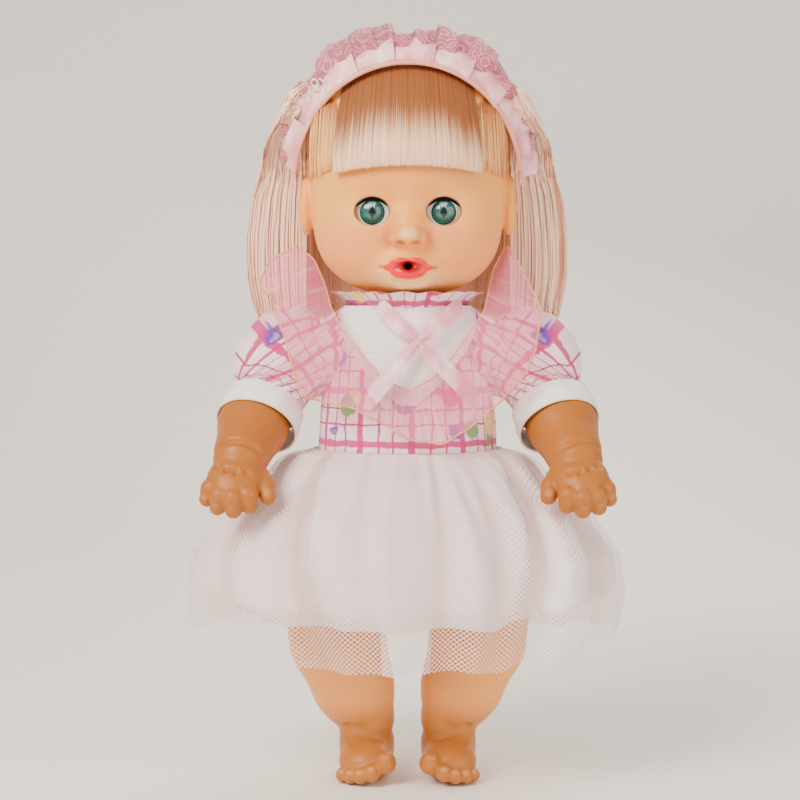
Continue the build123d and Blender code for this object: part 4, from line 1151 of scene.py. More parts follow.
# ---------------------------------------------------------------- dress
BODICE = (  # height, half width, half depth and middle front to back, in millimetres
    (WAIST, 46.6, 38.6, 8.0), (190, 45.6, 39.1, 8.5), (212, 43.4, 36.8, 8.0), (232, 41.0, 32.4, 7.0),
    (243, 36.5, 27.5, 7.0), (247.5, 32.0, 24.4, 7.0), (250, 29.0, 22.0, 7.0),
)
SKIRT = (  # the same
    (172.5, 47.2, 39.2, 8.0), (160, 69, 56, 3.0), (140, 94, 72, 1.0), (118, 110, 82, 0.0), (100, 113, 84, 0.0),
    (84, 110, 82, 0.0), (66, 105, 80, 0.0),
)


def waves(seed, count, low, high):
    """A smooth wandering function of one number, for folds that don't repeat."""
    own = np.random.default_rng(seed)
    rates, phases = own.uniform(low, high, count), own.uniform(0, 2 * math.pi, count)
    sizes = own.uniform(0.5, 1.0, count)

    def wander(value):
        return sum(s * np.sin(r * value + f) for s, r, f in zip(sizes, rates, phases)) / sizes.sum()

    return wander


def around(z, turn, grow, rows=BODICE):
    """A point on the doll's clothes: turn 0 is the middle of the front, positive towards the doll's left."""
    wide, deep, middle = table(z, rows)
    wide, deep = wide + grow, deep + grow
    return np.stack([wide * np.sin(turn), middle - deep * np.cos(turn), z + 0 * turn], axis=-1)


def plaid(name, pale=(0.98, 0.78, 0.82), shift=0.0, bloom=0.44):
    """Printed cotton: wide and thin pink lines both ways, with scattered blossoms and fruit."""
    paint = Paint(name, pale, rough=0.85, sheen_weight=0.25)
    u, v = paint.attribute("u"), paint.attribute("v")
    spot = paint.node("ShaderNodeCombineXYZ", {0: u, 1: v, 2: shift}).outputs[0]
    wobble = paint.times(paint.minus(paint.noise(0.12, 2.0, spot), 0.5), 3.0)
    paint.tint(paint.step(paint.noise(0.09, 2.0, spot), 0.44, 0.62), (0.95, 0.40, 0.56), 0.45)

    def lines(value, offset, pitch, half, soft):
        moved = paint.plus(paint.plus(value, offset), wobble)
        away = paint.size(paint.minus(paint.math("FRACT", paint.math("DIVIDE", moved, pitch)), 0.5))
        return paint.step(paint.times(away, pitch), half + soft, half - soft)

    for value, offset in ((u, 4.0 + shift), (v, 9.0)):
        for extra in (9.5, 17.0):
            paint.tint(lines(value, offset + extra, 27.0, 0.5, 0.15), (0.50, 0.01, 0.10), 0.92)
        paint.tint(lines(value, offset, 27.0, 1.7, 0.35), (0.62, 0.015, 0.17), 0.94)
    cells = paint.node("ShaderNodeTexVoronoi", {"Vector": spot, "Scale": 0.058, "Randomness": 0.85})
    near = paint.plus(cells.outputs["Distance"], paint.times(paint.noise(0.5, 2.0, spot), 0.22))
    pick = paint.node("ShaderNodeSeparateColor", {0: cells.outputs["Color"]})
    colors = paint.node("ShaderNodeValToRGB", {0: pick.outputs[0]})
    ramp = colors.color_ramp
    ramp.interpolation = "CONSTANT"
    stops = (
        (0.0, (0.14, 0.03, 0.36)), (0.26, (0.16, 0.34, 0.10)), (0.45, (0.88, 0.64, 0.16)),
        (0.64, (0.62, 0.01, 0.08)), (0.82, (0.20, 0.05, 0.42)),
    )
    while len(ramp.elements) < len(stops):
        ramp.elements.new(0.5)
    for element, (at, color) in zip(ramp.elements, stops):
        element.position, element.color = at, (*color, 1.0)
    shown = paint.times(paint.step(near, bloom, bloom - 0.06), paint.step(pick.outputs[1], 0.12, 0.14))
    paint.tint(shown, colors.outputs[0], 0.95)
    paint.tint(paint.times(shown, paint.step(near, 0.22, 0.18)), (0.93, 0.80, 0.50), 0.25)
    paint.bump(paint.times(paint.sine(u, 15.0), paint.sine(v, 15.0)), 0.04, 0.6)
    paint.bump(paint.noise(160.0, 3.0), 0.35, 0.5)
    return paint


def cotton(name, color, shade, pitch=0.45):
    """Plain woven cotton, one thread every pitch millimetres."""
    paint = Paint(name, color, rough=0.8, sheen_weight=0.3)
    paint.tint(paint.noise(60.0), shade, 0.5)
    u, v = paint.attribute("u"), paint.attribute("v")
    rate = 2 * math.pi / pitch
    paint.bump(paint.times(paint.sine(u, rate), paint.sine(v, rate)), 0.05, 0.6)
    return paint


def organza(name, color, shade, density):
    """Sheer woven cloth: fine crossed threads, more see-through between them."""
    paint = Paint(name, color, rough=0.5, sheen_weight=0.6, sheen_roughness=0.3)
    u, v = paint.attribute("u"), paint.attribute("v")
    paint.tint(paint.noise(50.0), shade, 0.6)
    spot = paint.node("ShaderNodeCombineXYZ", {0: u, 1: paint.times(v, 0.08)}).outputs[0]
    creases_and_shade = paint.noise(0.42, 2.0, spot)
    # painted shade and painted highlight along the creases
    paint.tint(paint.step(creases_and_shade, 0.52, 0.66), shade, 0.75)
    paint.tint(paint.step(creases_and_shade, 0.46, 0.34), (1.0, 0.62, 0.62), 0.6)
    paint.bump(creases_and_shade, 1.2, 0.6)
    rate = 2 * math.pi / 0.55
    threads = paint.most(paint.sine(u, rate), paint.sine(v, rate))
    paint.bump(threads, 0.04, 0.5)
    cover = paint.step(threads, -0.2, 0.9, density - 0.18, density + 0.16)
    paint.holes(cover)
    return paint


def make_bodice():
    """The front and back of the dress above the waist, gathered low down."""
    paint = plaid("bodice_plaid", bloom=0.52)
    pucker, sway = waves(3, 7, 3, 15), waves(4, 5, 2, 7)

    def at(u, v):
        turn = -math.pi + 2 * math.pi * u
        z = WAIST + 74.5 * v
        gather = np.exp(-((v / 0.16) ** 2))
        folds = 0.55 * pucker(turn * 3.0) * gather * (0.5 + 0.5 * np.sin(turn * 30.0)) + 0.5 * sway(turn + 2.4 * v)
        back = np.clip((np.abs(turn) - 2.2) / 0.9, 0, 1)
        return around(z, turn, folds + 1.0 * back + 0.35 * (u > 0.5) * (back > 0.95))

    shape = sheet("bodice_cloth", at, 220, 60, (285.0, 78.0))
    edit(shape, remove_armholes)
    cloth(shape, paint, "torso", "plaid_cotton", (270.0, 76.0), "stretched", ["torso_front"], "dress_bodice")


def make_bib():
    """The white bib, pleated and ribbed on the doll's right."""
    white = cotton("bib_cotton", (1.0, 0.93, 0.91), (0.96, 0.84, 0.82))
    u, v = white.attribute("u"), white.attribute("v")
    ribs = white.sine(v, 4.6)
    white.bump(white.times(ribs, white.step(u, 26.0, 20.0)), 0.25, 0.6)

    def bib(u, v):
        z = 196.0 + 50.0 * v
        half = 0.08 + 1.15 * np.clip(v, 0, 1) ** 0.9
        turn = (u * 2 - 1) * half
        pleats = 0.5 * np.clip(np.sin((u * 6.5 + 0.6 * v) * math.pi * 2), -0.2, 1.0) * (u < 0.55) * v
        soft = 0.45 * np.sin(v * 7 + u * 9) * np.sin(math.pi * v)
        return around(z, turn, 1.25 + pleats + soft)

    shape = sheet("bib_cloth", bib, 70, 50, (50.0, 52.0))
    cloth(shape, white, "torso", "white_cotton", (52.0, 51.0), "stretched", ["bodice_cloth"], "dress_bib")


def make_neck_ruffle():
    """The standing ruffle round the neck."""
    ruffle_paint = plaid("ruffle_plaid", (0.97, 0.78, 0.82), 7.0)

    def ruffle(u, v):
        turn = -math.pi + 2 * math.pi * u
        swing = np.sin(turn * 17 + 1.6 * np.sin(turn * 3)) + 0.5 * np.sin(turn * 29 + 2.0)
        out = 28.5 + 9.0 * v + (0.3 + 1.9 * v) * swing
        z = 243.6 + 9.2 * np.sin(math.pi * 0.5 * v) + 0.5 * v * np.cos(turn * 17 + 1.0)
        front = np.clip(np.cos(turn), 0, 1)
        out = out + 2.0 * front * v
        z = np.minimum(z, RUFFLE_TOP)
        return np.stack([out * np.sin(turn), BODY_Y - out * 0.94 * np.cos(turn), z], axis=-1)

    shape = sheet("neck_ruffle_cloth", ruffle, 420, 10, (300.0, 13.0))
    cloth(shape, ruffle_paint, "torso", "plaid_cotton", (300.0, 13.0), "gathered", ["bodice_cloth"], "neck_ruffle")


def make_closure():
    """The hook-and-loop tape down the middle of the back."""
    tape = cotton("tape_fabric", (0.90, 0.89, 0.88), (0.80, 0.78, 0.77), 0.8)
    tape.bump(tape.noise(2400.0), 0.25)

    def closure(u, v):
        z = 180.0 + 60.0 * v
        wide, deep, middle = table(z, BODICE)
        x = -5.0 + 10.0 * u
        edge = 0.7 * (1 - (2 * u - 1) ** 6)
        return np.stack([x, middle + (deep + 1.9) * np.sqrt(1 - (x / wide) ** 2) + edge, z], axis=-1)

    shape = sheet("closure_tape", closure, 24, 60, (10.0, 62.0))
    cloth(shape, tape, "torso", "hook_tape", (10.0, 62.0), "stretched", ["bodice_cloth"], "hook_and_loop")


def remove_armholes(work):
    """Opens the bodice round each arm."""
    gone = []
    for face in work.faces:
        x, y, z = face.calc_center_median() / MM
        if abs(x) > 25 and math.hypot(y - SHOULDER_Y, (z - SHOULDER_Z) * 0.95) < ARMHOLE_RADIUS:
            gone.append(face)
    bmesh.ops.delete(work, geom=gone, context="FACES")


# The collar on each side, from the tip of its standing wing over the shoulder down to the point in front:
# share of its length, distance from the middle, height, and place front to back.
COLLAR_INNER = {
    1: (
        (0.00, 50.0, 276.0, -2.0), (0.10, 43.5, 264.0, -5.0), (0.20, 41.0, 252.0, -9.0), (0.32, 39.0, 244.0, -16.0),
        (0.46, 32.5, 234.0, -21.0), (0.64, 21.8, 220.0, -28.5), (0.82, 13.0, 210.0, -32.0), (1.00, 0.0, 203.0, -33.5),
    ),
    -1: (
        (0.00, 56.0, 276.0, -2.0), (0.10, 48.0, 270.0, -5.0), (0.20, 42.0, 256.0, -9.0), (0.32, 39.5, 246.0, -15.0),
        (0.46, 33.0, 234.0, -21.0), (0.64, 21.8, 220.0, -28.5), (0.82, 13.0, 210.0, -32.0), (1.00, 0.0, 203.0, -33.5),
    ),
}
COLLAR_OUTER = {
    1: (
        (0.00, 51.0, 276.5, -2.0), (0.08, 60.0, 262.0, -8.0), (0.18, 68.0, 243.0, -19.0), (0.30, 64.0, 224.0, -27.0),
        (0.40, 60.0, 213.0, -32.0), (0.52, 51.0, 203.0, -35.0), (0.64, 40.0, 193.5, -37.5), (0.76, 29.0, 184.0, -39.0),
        (0.88, 17.0, 177.0, -39.0), (1.00, 0.0, 179.5, -38.5),
    ),
    -1: (
        (0.00, 57.0, 276.5, -2.0), (0.06, 72.0, 269.0, -5.0), (0.13, 76.0, 255.0, -11.0), (0.18, 67.5, 249.5, -17.0),
        (0.24, 68.0, 244.0, -19.0), (0.34, 62.0, 230.0, -26.0), (0.46, 56.5, 211.0, -32.0), (0.55, 52.0, 200.5, -35.0),
        (0.66, 40.0, 197.5, -37.0), (0.76, 27.0, 195.0, -38.0), (0.88, 11.0, 186.5, -39.0), (1.00, 0.0, 179.5, -38.5),
    ),
}


def collar_edge(t, rows, times):
    rows = np.array(rows)
    return np.stack([smooth_rows(np.interp(t, rows[:, 0], rows[:, i]), times) for i in (1, 2, 3)], axis=1)


def smooth_rows(values, times=6):
    for _ in range(times):
        values = np.concatenate([values[:1], (values[:-2] + 2 * values[1:-1] + values[2:]) / 4, values[-1:]])
    return values


def make_collar():
    """The wide organza collar, one half on each side, with a stitched edge."""
    paint = organza("collar_organza", (0.96, 0.23, 0.38), (0.90, 0.14, 0.30), 0.44)
    stitch = Paint("collar_stitch", (0.86, 0.36, 0.17), rough=0.5)
    stitch.bump(stitch.sine(stitch.axis(2), 3500.0), 0.15)
    count, rows = 240, 16
    t, v = np.linspace(0.0, 1.0, count), np.linspace(0.0, 1.0, rows)
    for name, side in LEFT_RIGHT:
        phase = 0.0 if side > 0 else 1.7
        inner = collar_edge(t, COLLAR_INNER[side], 30)
        outer = collar_edge(t, COLLAR_OUTER[side], 16)
        wander = waves(11 if side > 0 else 12, 5, 12, 30)
        swing = (1.3 * wander(t) + 0.6 * np.sin(t * 46.0 + phase))[:, None] * (0.4 + 3.4 * v[None, :] ** 1.2)
        swing = swing * np.clip((1.02 - t[:, None]) * 5.0, 0.15, 1.0)
        points = inner[:, None] * (1 - v[None, :, None]) + outer[:, None] * v[None, :, None]
        points = points[..., [0, 2, 1]]  # the tables give height before depth
        bulge = 3.2 * np.sin(math.pi * v)[None, :] * np.clip(1.2 - t[:, None], 0.2, 1)
        points[..., 1] -= bulge + swing
        # it stays in front of the bodice below the neck, in front of the sleeve, and inside the depth limit
        height = np.clip(points[..., 2], WAIST, NECK_Z)
        wide, deep, middle = table(height, BODICE)
        inside = np.clip(1 - (points[..., 0] / (wide + 1.0)) ** 2, 0, 1)
        cloth_front = middle - (deep + 1.0) * np.sqrt(inside)
        limit = cloth_front - 1.0 - 0.5 * v[None, :]
        low = points[..., 2] < NECK_Z
        points[..., 1] = np.where(low & (inside > 0.02), np.minimum(points[..., 1], limit), points[..., 1])
        away = points - SLEEVE_CENTER
        push = np.clip(SLEEVE_RADIUS + 1.6 - np.linalg.norm(away, axis=-1), 0, None) * (away[..., 1] < 4)
        points[..., 1] -= push * 1.15
        points[..., 1] = np.maximum(points[..., 1], COLLAR_FRONT)
        grid = points.reshape(-1, 3)
        grid[:, 0] *= side
        shape = piece(f"collar_{name}", grid, grid_faces(count, rows))
        store(shape, "u", np.repeat(t * 120.0, rows))  # along and across the cloth, in millimetres
        store(shape, "v", np.tile(v * 28.0, count))
        nodes = ("organza_collar",) if side > 0 else ()
        cloth(shape, paint, "torso", "organza", (125.0, 27.0), "gathered", ["bodice_cloth"], *nodes)
        rim = grid.reshape(count, rows, 3)
        for edge, column in (("outer", -1), ("inner", 0)):
            cord = tube(f"collar_{edge}_stitch_{name}", rim[:, column], 0.55 if edge == "outer" else 0.4, 6)
            finish_piece(cord, stitch, "torso", "organza")


def make_bow():
    """Two crossing satin ribbons tacked in the middle, with slanting cut ends."""
    paint = satin("bow_satin", (0.97, 0.52, 0.58), (0.80, 0.26, 0.38))
    middle = np.array([5.0, -40.0, 228.0])
    arms = (((-15.0, 246.5), 0.0), ((27.5, 247.0), 0.4), ((-19.0, 199.5), 0.8), ((35.0, 198.0), 1.2))
    points, faces = [], []
    across, along = 9, 26
    for number, (end, layer) in enumerate(arms):
        start = middle[[0, 2]]
        run = unit(end - start)
        side = np.array([run[1], -run[0]])
        length = np.linalg.norm(end - start)
        for i in range(along):
            s = i / (along - 1)
            for j in range(across):
                w = j / (across - 1) - 0.5
                slant = 5.0 * (w if number in (0, 3) else -w) * max(0.0, s * 3 - 2)
                half = 8.2 * (0.42 + 0.58 * min(1.0, s * 3.2))
                spot = start + run * (s * length + slant) + side * w * half
                z = np.clip(spot[1], WAIST, 249.0)
                wide, deep, body = table(z, BODICE)
                front = body - (deep + 1) * math.sqrt(max(0.0, 1 - (spot[0] / wide) ** 2))
                fold = 0.9 * math.cos(w * math.pi * 2.0 * (1.2 - 0.6 * s)) * (1.1 - s)
                rise = 5.0 * s if number > 1 else 0.0
                lift = 5.2 + layer + 2.0 * math.sin(math.pi * min(1.0, s * 1.1)) + fold + rise
                curl = 1.2 * math.sin(s * 7.0 + number)
                points.append((spot[0], front - lift - curl * 0.4, spot[1]))
        faces.append(grid_faces(along, across, number * along * across, flip=True))
    shape = piece("bow_ribbon", points, np.concatenate(faces))
    cloth(shape, paint, "torso", "white_satin", (140.0, 10.0), "folded", ["bib_cloth"], "satin_bow")
    knot = Paint("bow_stitch", (0.80, 0.50, 0.58), rough=0.4)
    knot.bump(knot.noise(1500.0), 0.3)
    loop = []
    for t in np.linspace(-1, 1, 12):
        loop.append((middle[0] + 1.6 * t, middle[1] - 0.6 - 1.3 * math.cos(t * 1.4), middle[2] + 0.5 * t))
    stitches = [tube(f"bow_thread_{n}", np.array(loop) + np.array([0, 0, (n - 1) * 0.7]), 0.34, 6) for n in range(3)]
    shape = merged("bow_thread", stitches)
    finish_piece(shape, knot, "torso", "white_satin")


def outside_arm(points, gap=1.6):
    """Moves points of the left sleeve that would touch the arm out to a small gap from its skin."""
    flat = points.reshape(-1, 3)
    best, axis = np.full(len(flat), 1e9), flat.copy()
    for (start, _), (end, _) in zip(ARM_STATIONS, ARM_STATIONS[1:]):
        start, run = np.array(start, float), np.subtract(end, start).astype(float)
        t = np.clip((flat - start) @ run / (run @ run), 0.0, 1.0)
        near = start + t[:, None] * run
        distance = np.linalg.norm(flat - near, axis=1)
        closer = distance < best
        best[closer], axis[closer] = distance[closer], near[closer]
    short = np.clip(gap - arm_field(flat), 0.0, None)
    return (flat + (flat - axis) / best[:, None] * short[:, None]).reshape(points.shape)


def make_sleeves():
    """The puffed sleeves, each with a satin cuff and its piping."""
    print_paint = plaid("sleeve_plaid", (0.98, 0.70, 0.77), 13.0, 0.33)
    white = satin("cuff_satin", (0.92, 0.90, 0.88), (0.86, 0.83, 0.81))
    piping = Paint("cuff_piping", (0.88, 0.76, 0.58), rough=0.5)
    piping.bump(piping.noise(800.0), 0.1)
    cuff_at, cuff_along = np.array([74.5, -1.5, 194.0]), unit((0.24, -0.66, -0.71))
    first = unit(np.cross(cuff_along, (0, 0, 1)))
    second = np.cross(cuff_along, first)
    hole_at = np.array([36.0, SHOULDER_Y, SHOULDER_Z])
    hole_first, hole_second = np.array([0.0, -1.0, 0.0]), np.array([0.0, 0.0, -1.0])

    def at(u, v):
        turn = 2 * math.pi * u
        spin = turn[..., None]
        top = hole_at + 21.0 * circle(spin, hole_first, hole_second)
        low = cuff_at + cuff_along * 1.0 + 20.0 * circle((turn + align)[..., None], first, second)
        w = v[..., None]
        line = top * (1 - w) + low * w
        puff = line - SLEEVE_CENTER
        length = np.linalg.norm(puff, axis=-1, keepdims=True)
        ball_point = SLEEVE_CENTER + puff / length * SLEEVE_RADIUS
        blend = np.sin(math.pi * w ** 1.25) ** 0.7
        folds = np.sin(turn * 17 + 2 * np.sin(turn * 3))[..., None] * np.clip((w - 0.55) * 2.4, 0, 1) * 1.1
        folds += np.sin(turn * 13 + 1.0)[..., None] * np.clip((0.4 - w) * 2.4, 0, 1) * 1.0
        soft = 0.8 * np.sin(turn * 4 + v * 6)[..., None]
        out = puff / length
        points = outside_arm(line * (1 - blend) + ball_point * blend + out * (folds + soft * blend))
        points[..., 0] -= 2.2 * (1 - v) ** 6  # its upper edge lies in the armhole
        return points

    def ring_angle(direction):
        flat = direction - cuff_along * (direction @ cuff_along)
        return math.atan2(flat @ second, flat @ first)

    align = ring_angle(hole_first)
    if math.sin(ring_angle(hole_second) - align) < 0:  # both rings have to run the same way round
        second = -second
        align = ring_angle(hole_first)
    shape = sheet("sleeve_cloth_left", evened(at), 200, 64, SLEEVE_FLAT)
    band = cuff_shape("cuff_cloth_left", cuff_at, cuff_along, first, second)
    turn = np.linspace(0, 2 * math.pi, 80, endpoint=False)[:, None]
    lower = cuff_at + cuff_along * 13.4 + 21.0 * circle(turn, first, second)
    upper = cuff_at + cuff_along * 0.2 + CUFF_RADIUS * circle(turn, first, second)
    edges = [tube("edge_low", lower, 0.6, 8, True), tube("edge_high", upper, 0.5, 8, True)]
    edge = merged("cuff_piping_left", edges)
    parts = (
        (shape, print_paint, "plaid_cotton", SLEEVE_FLAT, "gathered", "sleeve"),
        (band, white, "white_satin", CUFF_FLAT, "stretched", "cuff"),
    )
    for left, paint, slot, size, held, part in parts:
        for name, one in both(left):
            cloth(one, paint, f"arm_{name}", slot, size, held, [f"arm_skin_{name}"], f"{part}_{name}")
    for name, one in both(edge):
        finish_piece(one, piping, f"arm_{name}", "white_satin")


def both(left):
    """A piece of the left arm and its mirror image."""
    return (("left", left), ("right", flipped(left, left.name.replace("left", "right"))))


def circle(turn, first, second):
    """Points at unit distance round a middle, in the plane of two directions."""
    return np.cos(turn) * first + np.sin(turn) * second


def cuff_shape(name, at, along, first, second):
    """The left cuff, a band that swells a little in the middle."""

    def ring(u, v):
        turn = (2 * math.pi * u)[..., None]
        w = v[..., None]
        radius = CUFF_RADIUS + 0.2 * w + 0.9 * np.sin(math.pi * w)
        crease = 0.25 * np.sin(turn * 9 + 3 * w)
        return at + along * (0.2 + 13.0 * w) + (radius + crease) * circle(turn, first, second)

    return sheet(name, ring, 120, 12, CUFF_FLAT)


# ---------------------------------------------------------------- skirt
def skirt_point(turn, v, top, bottom, grow, folds, drop):
    """One layer: v runs from the waist to the hem, folds(turn) is the depth of its gathers."""
    z = top + (bottom + drop - top) * v
    flare = np.clip((v - 0.02) / 0.98, 0, 1)
    gather = folds(turn, v) * np.clip(flare * 3.2, 0.10, 1.0)
    point = around(z, turn, grow * np.clip(v * 4, 0, 1) + gather, SKIRT)
    point[..., 2] += 5.0 * np.sin(turn) ** 2 * np.exp(-(((v - 0.09) / 0.06) ** 2))
    return point


FOLDS = (  # turn at the waist and at the hem, depth in millimetres, half width in degrees
    (-54, -25, 8.5, 4.5), (62, 33, 8.5, 4.5), (13, 9, 5.5, 3.5), (-24, -9, 3.5, 3.0), (38, 22, 3.5, 3.0),
    (-80, -58, 6.0, 5.0), (86, 62, 6.0, 5.0), (-106, -98, 6.0, 5.0), (118, 106, 6.0, 5.0), (-138, -131, 5.5, 5.0),
    (147, 141, 5.5, 5.0), (-168, -165, 5.0, 5.0), (171, 173, 4.0, 5.0),
)


def make_skirt():
    """Lining and tulle, each in two halves that lap over at the middle of the front and back."""
    lining_paint = cotton("lining_cloth", (0.97, 0.87, 0.86), (0.95, 0.78, 0.77), 0.4)
    fine = lining_paint.sine(lining_paint.attribute("v"), 7.5)
    lining_paint.bump(fine, 0.06, 0.5)
    net = Paint("tulle_net", (0.92, 0.74, 0.73), rough=0.6, sheen_weight=0.4)
    u, v = net.attribute("u"), net.attribute("v")
    rate = 2 * math.pi / 2.3
    one = net.size(net.sine(net.plus(u, v), rate / 2))
    two = net.size(net.sine(net.minus(u, v), rate / 2))
    thread = net.math("MINIMUM", one, two)
    net.holes(net.step(thread, 0.35, 0.24, 0.0, 0.95))
    net.tint(net.noise(40.0), (0.92, 0.74, 0.72), 0.6)
    # painted shade: the deeper folds are tinted pinkish beige
    for paint, strength in ((lining_paint, 0.75), (net, 0.6)):
        paint.tint(paint.step(paint.attribute("fold"), 0.5, -8.0), (0.80, 0.52, 0.47), strength)

    coarse, medium, small = waves(21, 5, 3.0, 9.0), waves(22, 6, 10.0, 19.0), waves(23, 6, 24.0, 44.0)

    def folds(turn, v):
        depth = 2.4 * coarse(turn) + 2.0 * medium(turn) - 0.5
        for waist, hem, deep, width in FOLDS:
            away = np.degrees(turn) - waist - (hem - waist) * v ** 0.6
            away = (away + 180.0) % 360.0 - 180.0
            wide = width * (0.75 + 0.6 * v)
            depth = depth - 1.35 * deep * (1.0 - 0.35 * v) * np.exp(-((away / wide) ** 2))
            depth = depth + 0.6 * deep * np.exp(-(((away - 2.0 * wide) / (1.4 * wide)) ** 2))
        return depth

    overlap = math.radians(7.0)
    across, down = 260, 56
    layers = (
        ("lining", lining_paint, "white_cotton", 171.3, 88.5, -4.6, (300.0, 96.0), "skirt_lining"),
        ("tulle", net, "white_tulle", 171.8, 69.0, -1.0, (320.0, 116.0), "skirt_tulle"),
    )
    for layer, paint, slot, top, bottom, grow, size, node in layers:
        for name, side in LEFT_RIGHT:
            over = overlap if side > 0 else overlap * 0.85

            def at(u, v, side=side, over=over, layer=layer, top=top, bottom=bottom, grow=grow):
                turn = side * (-over + (math.pi + 2 * over) * u)
                inset = -1.1 if side < 0 else 0.0
                seam = np.clip(1 - np.minimum(turn * side + over, math.pi + over - turn * side) / (2.2 * over), 0, 1)
                gathers = 2.0 * small(turn) + 1.5 * np.sin(turn * 44.0)
                hem = 3.0 * medium(turn * 1.1) + 2.2 * coarse(turn * 1.7)
                lift = 10.0 * np.sin(turn) ** 4 + (hem if layer == "lining" else 0.8 * hem)
                point = skirt_point(turn, v, top, bottom, grow, folds, lift * v)
                out = np.stack([np.sin(turn), -np.cos(turn), 0 * turn], axis=-1)
                puff = gathers * np.sin(math.pi * np.clip(v * 1.6, 0, 1)) * np.exp(-2.2 * v)
                tuck = inset * seam * np.clip(v * 5, 0, 1)
                roll = -6.0 * np.clip((v - 0.86) / 0.14, 0, 1) ** 2 if layer == "lining" else 0.0
                crisp = 1.3 * np.sin(turn * 33 + 4 * v) * v ** 3 if layer == "tulle" else 0.0
                return point + out * (puff + tuck + roll + crisp + 0 * turn)[..., None]

            shape = sheet(f"skirt_{layer}_{name}", at, across, down, size)
            u, v = unit_grid(across, down)
            # fold depth, which the skirt's materials use for painted shade
            store(shape, "fold", folds(side * (-over + (math.pi + 2 * over) * u), v).ravel())
            shape.data.materials.append(paint.material)
            if side > 0:
                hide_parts(node)
            start, end = (side * 0.040, -0.030, 0.166), (side * 0.040, -0.099, 0.075)
            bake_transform(shape, "torso", f"leg_{name}", start=start, end=end)


# ---------------------------------------------------------------- case, sound box and mechanism
def moulded(name, color, shade, rough=0.45, grain=700.0):
    """Moulded hard plastic: a fine spark texture, faint flow marks and slightly uneven gloss."""
    paint = Paint(name, color, rough=rough)
    paint.tint(paint.noise(35.0), shade, 0.35)
    flow = paint.noise(1.0, 3.0, paint.scaled(40.0, 40.0, 320.0))
    paint.tint(paint.step(flow, 0.5, 0.8), shade, 0.2)
    paint.rough(paint.noise(220.0), rough - 0.06, rough + 0.08)
    paint.bump(paint.noise(grain, 2.0), 0.04, 0.5)
    return paint


def metal(name, color, shade, rough=0.3, turned=(900.0, 900.0, 60.0)):
    """Plated or turned metal: fine tool lines and a few duller patches."""
    paint = Paint(name, color, rough=rough, metallic=1.0)
    lines = paint.noise(1.0, 2.0, paint.scaled(*turned))
    paint.tint(lines, shade, 0.4)
    paint.rough(paint.noise(350.0), rough - 0.08, rough + 0.14)
    paint.bump(lines, 0.03, 0.5)
    return paint


def speaker_paint():
    """A paper cone with rings round its dust cap, in a dark pressed frame."""
    low, high = node_box("loudspeaker")
    middle = (low + high) / 2
    paint = Paint("speaker_paint", (0.035, 0.035, 0.037), rough=0.6)
    x, _, z = paint.node("ShaderNodeSeparateXYZ", {0: paint.away(middle)}).outputs
    radius = paint.radius(x, z)
    rings = paint.sine(radius, 3600.0)
    cone = paint.step(radius, (high[0] - low[0]) * 0.40 * MM, (high[0] - low[0]) * 0.38 * MM)
    paint.tint(paint.times(cone, paint.noise(500.0)), (0.10, 0.095, 0.09), 0.8)
    paint.tint(paint.step(radius, 0.0046, 0.0043), (0.16, 0.155, 0.15), 0.8)
    paint.bump(paint.times(rings, cone), 0.2, 0.5)
    paint.bump(paint.noise(1300.0), 0.05, 0.5)
    return paint


def board_paint():
    """A printed board: solder resist over straight tracks, with small soldered pads."""
    paint = Paint("board_paint", (0.02, 0.16, 0.06), rough=0.35, coat_weight=0.3)
    grid = paint.scaled(900.0, 900.0, 900.0)
    tracks = paint.node("ShaderNodeTexBrick", {
        "Vector": grid, "Scale": 0.6, "Mortar Size": 0.05, "Brick Width": 1.6, "Row Height": 0.7}).outputs["Fac"]
    paint.tint(tracks, (0.05, 0.30, 0.10), 0.8)
    dots = paint.node("ShaderNodeTexVoronoi", {"Vector": grid, "Scale": 0.45}).outputs["Distance"]
    paint.tint(paint.step(dots, 0.26, 0.2), (0.62, 0.60, 0.56), 0.85)
    paint.bump(paint.step(dots, 0.3, 0.15), 0.2, 0.6)
    paint.bump(tracks, 0.05, 0.5)
    return paint


def cell_paint():
    """A wrapped dry cell: a printed jacket with a brighter band, and a fine wrap seam."""
    low, high = node_box("battery_cells")
    longest = int(np.argmax(high - low))
    paint = Paint("cell_paint", (0.03, 0.09, 0.20), rough=0.3, coat_weight=0.4)
    span = high[longest] - low[longest]
    place = paint.minus(paint.axis(longest), low[longest] * MM)
    band = paint.step(place, span * 0.70 * MM, span * 0.71 * MM)
    paint.tint(band, (0.72, 0.42, 0.10), 0.95)
    paint.tint(paint.noise(60.0), (0.02, 0.06, 0.14), 0.4)
    paint.rough(paint.noise(250.0), 0.24, 0.4)
    paint.bump(paint.noise(900.0), 0.03, 0.5)
    return paint


def wire_paint(name, color, shade):
    """Soft insulated wire: a waxy jacket, a little uneven from bending."""
    paint = Paint(name, color, rough=0.4, coat_weight=0.2)
    paint.tint(paint.noise(120.0), shade, 0.5)
    paint.rough(paint.noise(500.0), 0.32, 0.5)
    paint.bump(paint.noise(1100.0), 0.04, 0.5)
    return paint


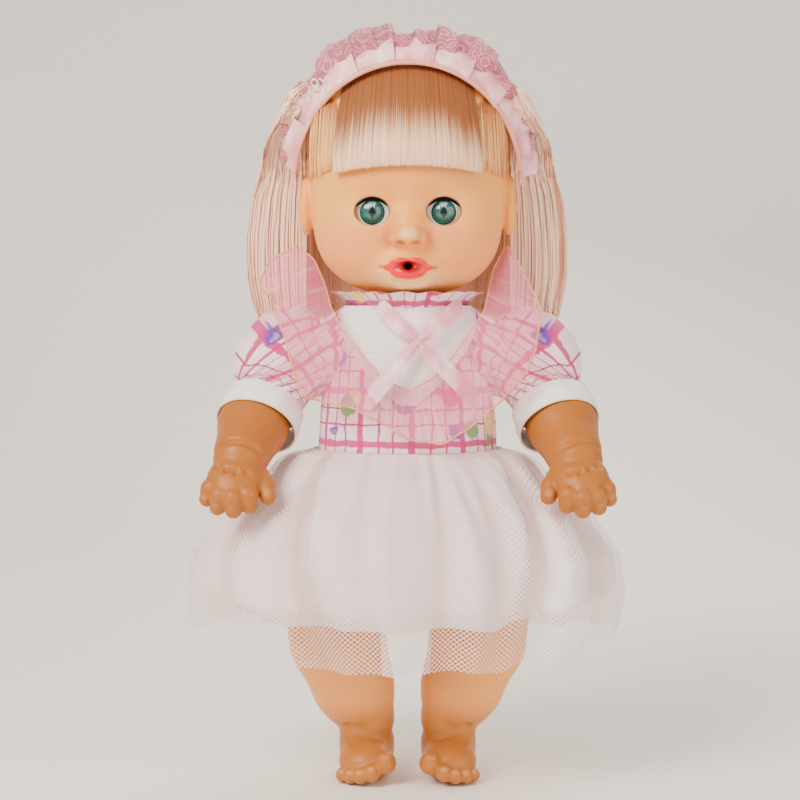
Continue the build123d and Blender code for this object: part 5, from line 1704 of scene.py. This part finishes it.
def paint_mechanism():
    """Gives each CAD part that stays in view its own material."""
    case = moulded("case_plastic", (0.88, 0.48, 0.20), (0.80, 0.38, 0.13))
    case.tint(case.step(case.axis(1), BODY_Y * MM - 0.0002, BODY_Y * MM), (0.85, 0.45, 0.18), 0.5)
    ivory = moulded("housing_plastic", (0.82, 0.78, 0.70), (0.72, 0.67, 0.58), 0.5)
    box = moulded("box_plastic", (0.76, 0.42, 0.18), (0.66, 0.34, 0.13), 0.5, 1100.0)
    black = moulded("switch_plastic", (0.02, 0.02, 0.022), (0.045, 0.045, 0.05), 0.4)
    ribs = black.sine(black.axis(2), 5200.0)
    black.bump(ribs, 0.12, 0.5)
    lining = vinyl("mouth_vinyl", (0.75, 0.015, 0.015), (0.60, 0.008, 0.008))
    rubber = moulded("button_rubber", (0.60, 0.07, 0.16), (0.45, 0.04, 0.11), 0.6)
    dome = rubber.sine(rubber.axis(0), 2600.0)
    rubber.bump(dome, 0.08, 0.5)
    steel = metal("screw_steel", (0.62, 0.61, 0.59), (0.42, 0.41, 0.40))
    weight = metal("weight_steel", (0.50, 0.50, 0.51), (0.34, 0.33, 0.33), 0.42, (300.0, 1500.0, 300.0))
    spring = metal("contact_plate", (0.74, 0.70, 0.62), (0.55, 0.50, 0.42), 0.26, (1500.0, 200.0, 1500.0))
    looks = {
        "torso_front": case, "torso_back": case, "neck_ring": case, "battery_box": box, "battery_door": box,
        "eye_housing_left": ivory, "eye_housing_right": ivory, "mouth_tube": lining, "case_screws": steel,
        "door_screw": steel, "eye_weight_left": weight, "eye_weight_right": weight, "battery_contacts": spring,
        "battery_cells": cell_paint(), "loudspeaker": speaker_paint(), "circuit_board": board_paint(),
        "push_switch": black, "power_switch": black, "power_slider": black, "tummy_button": rubber,
        "battery_wires": wire_paint("battery_wire", (0.50, 0.02, 0.02), (0.34, 0.01, 0.01)),
        "speaker_wires": wire_paint("speaker_wire", (0.03, 0.05, 0.22), (0.02, 0.03, 0.13)),
    }
    for node, paint in looks.items():
        slots = bpy.data.objects[node].data.materials
        for index in range(len(slots)):
            slots[index] = paint.material


place_stage()
make_head()
for eye_name, eye_side in LEFT_RIGHT:
    make_eye(eye_name, eye_side)
make_limbs()
make_hair()
make_ribbon()
make_lace()
make_flower()
make_bodice()
make_bib()
make_neck_ruffle()
make_closure()
make_collar()
make_bow()
make_sleeves()
make_skirt()
paint_mechanism()
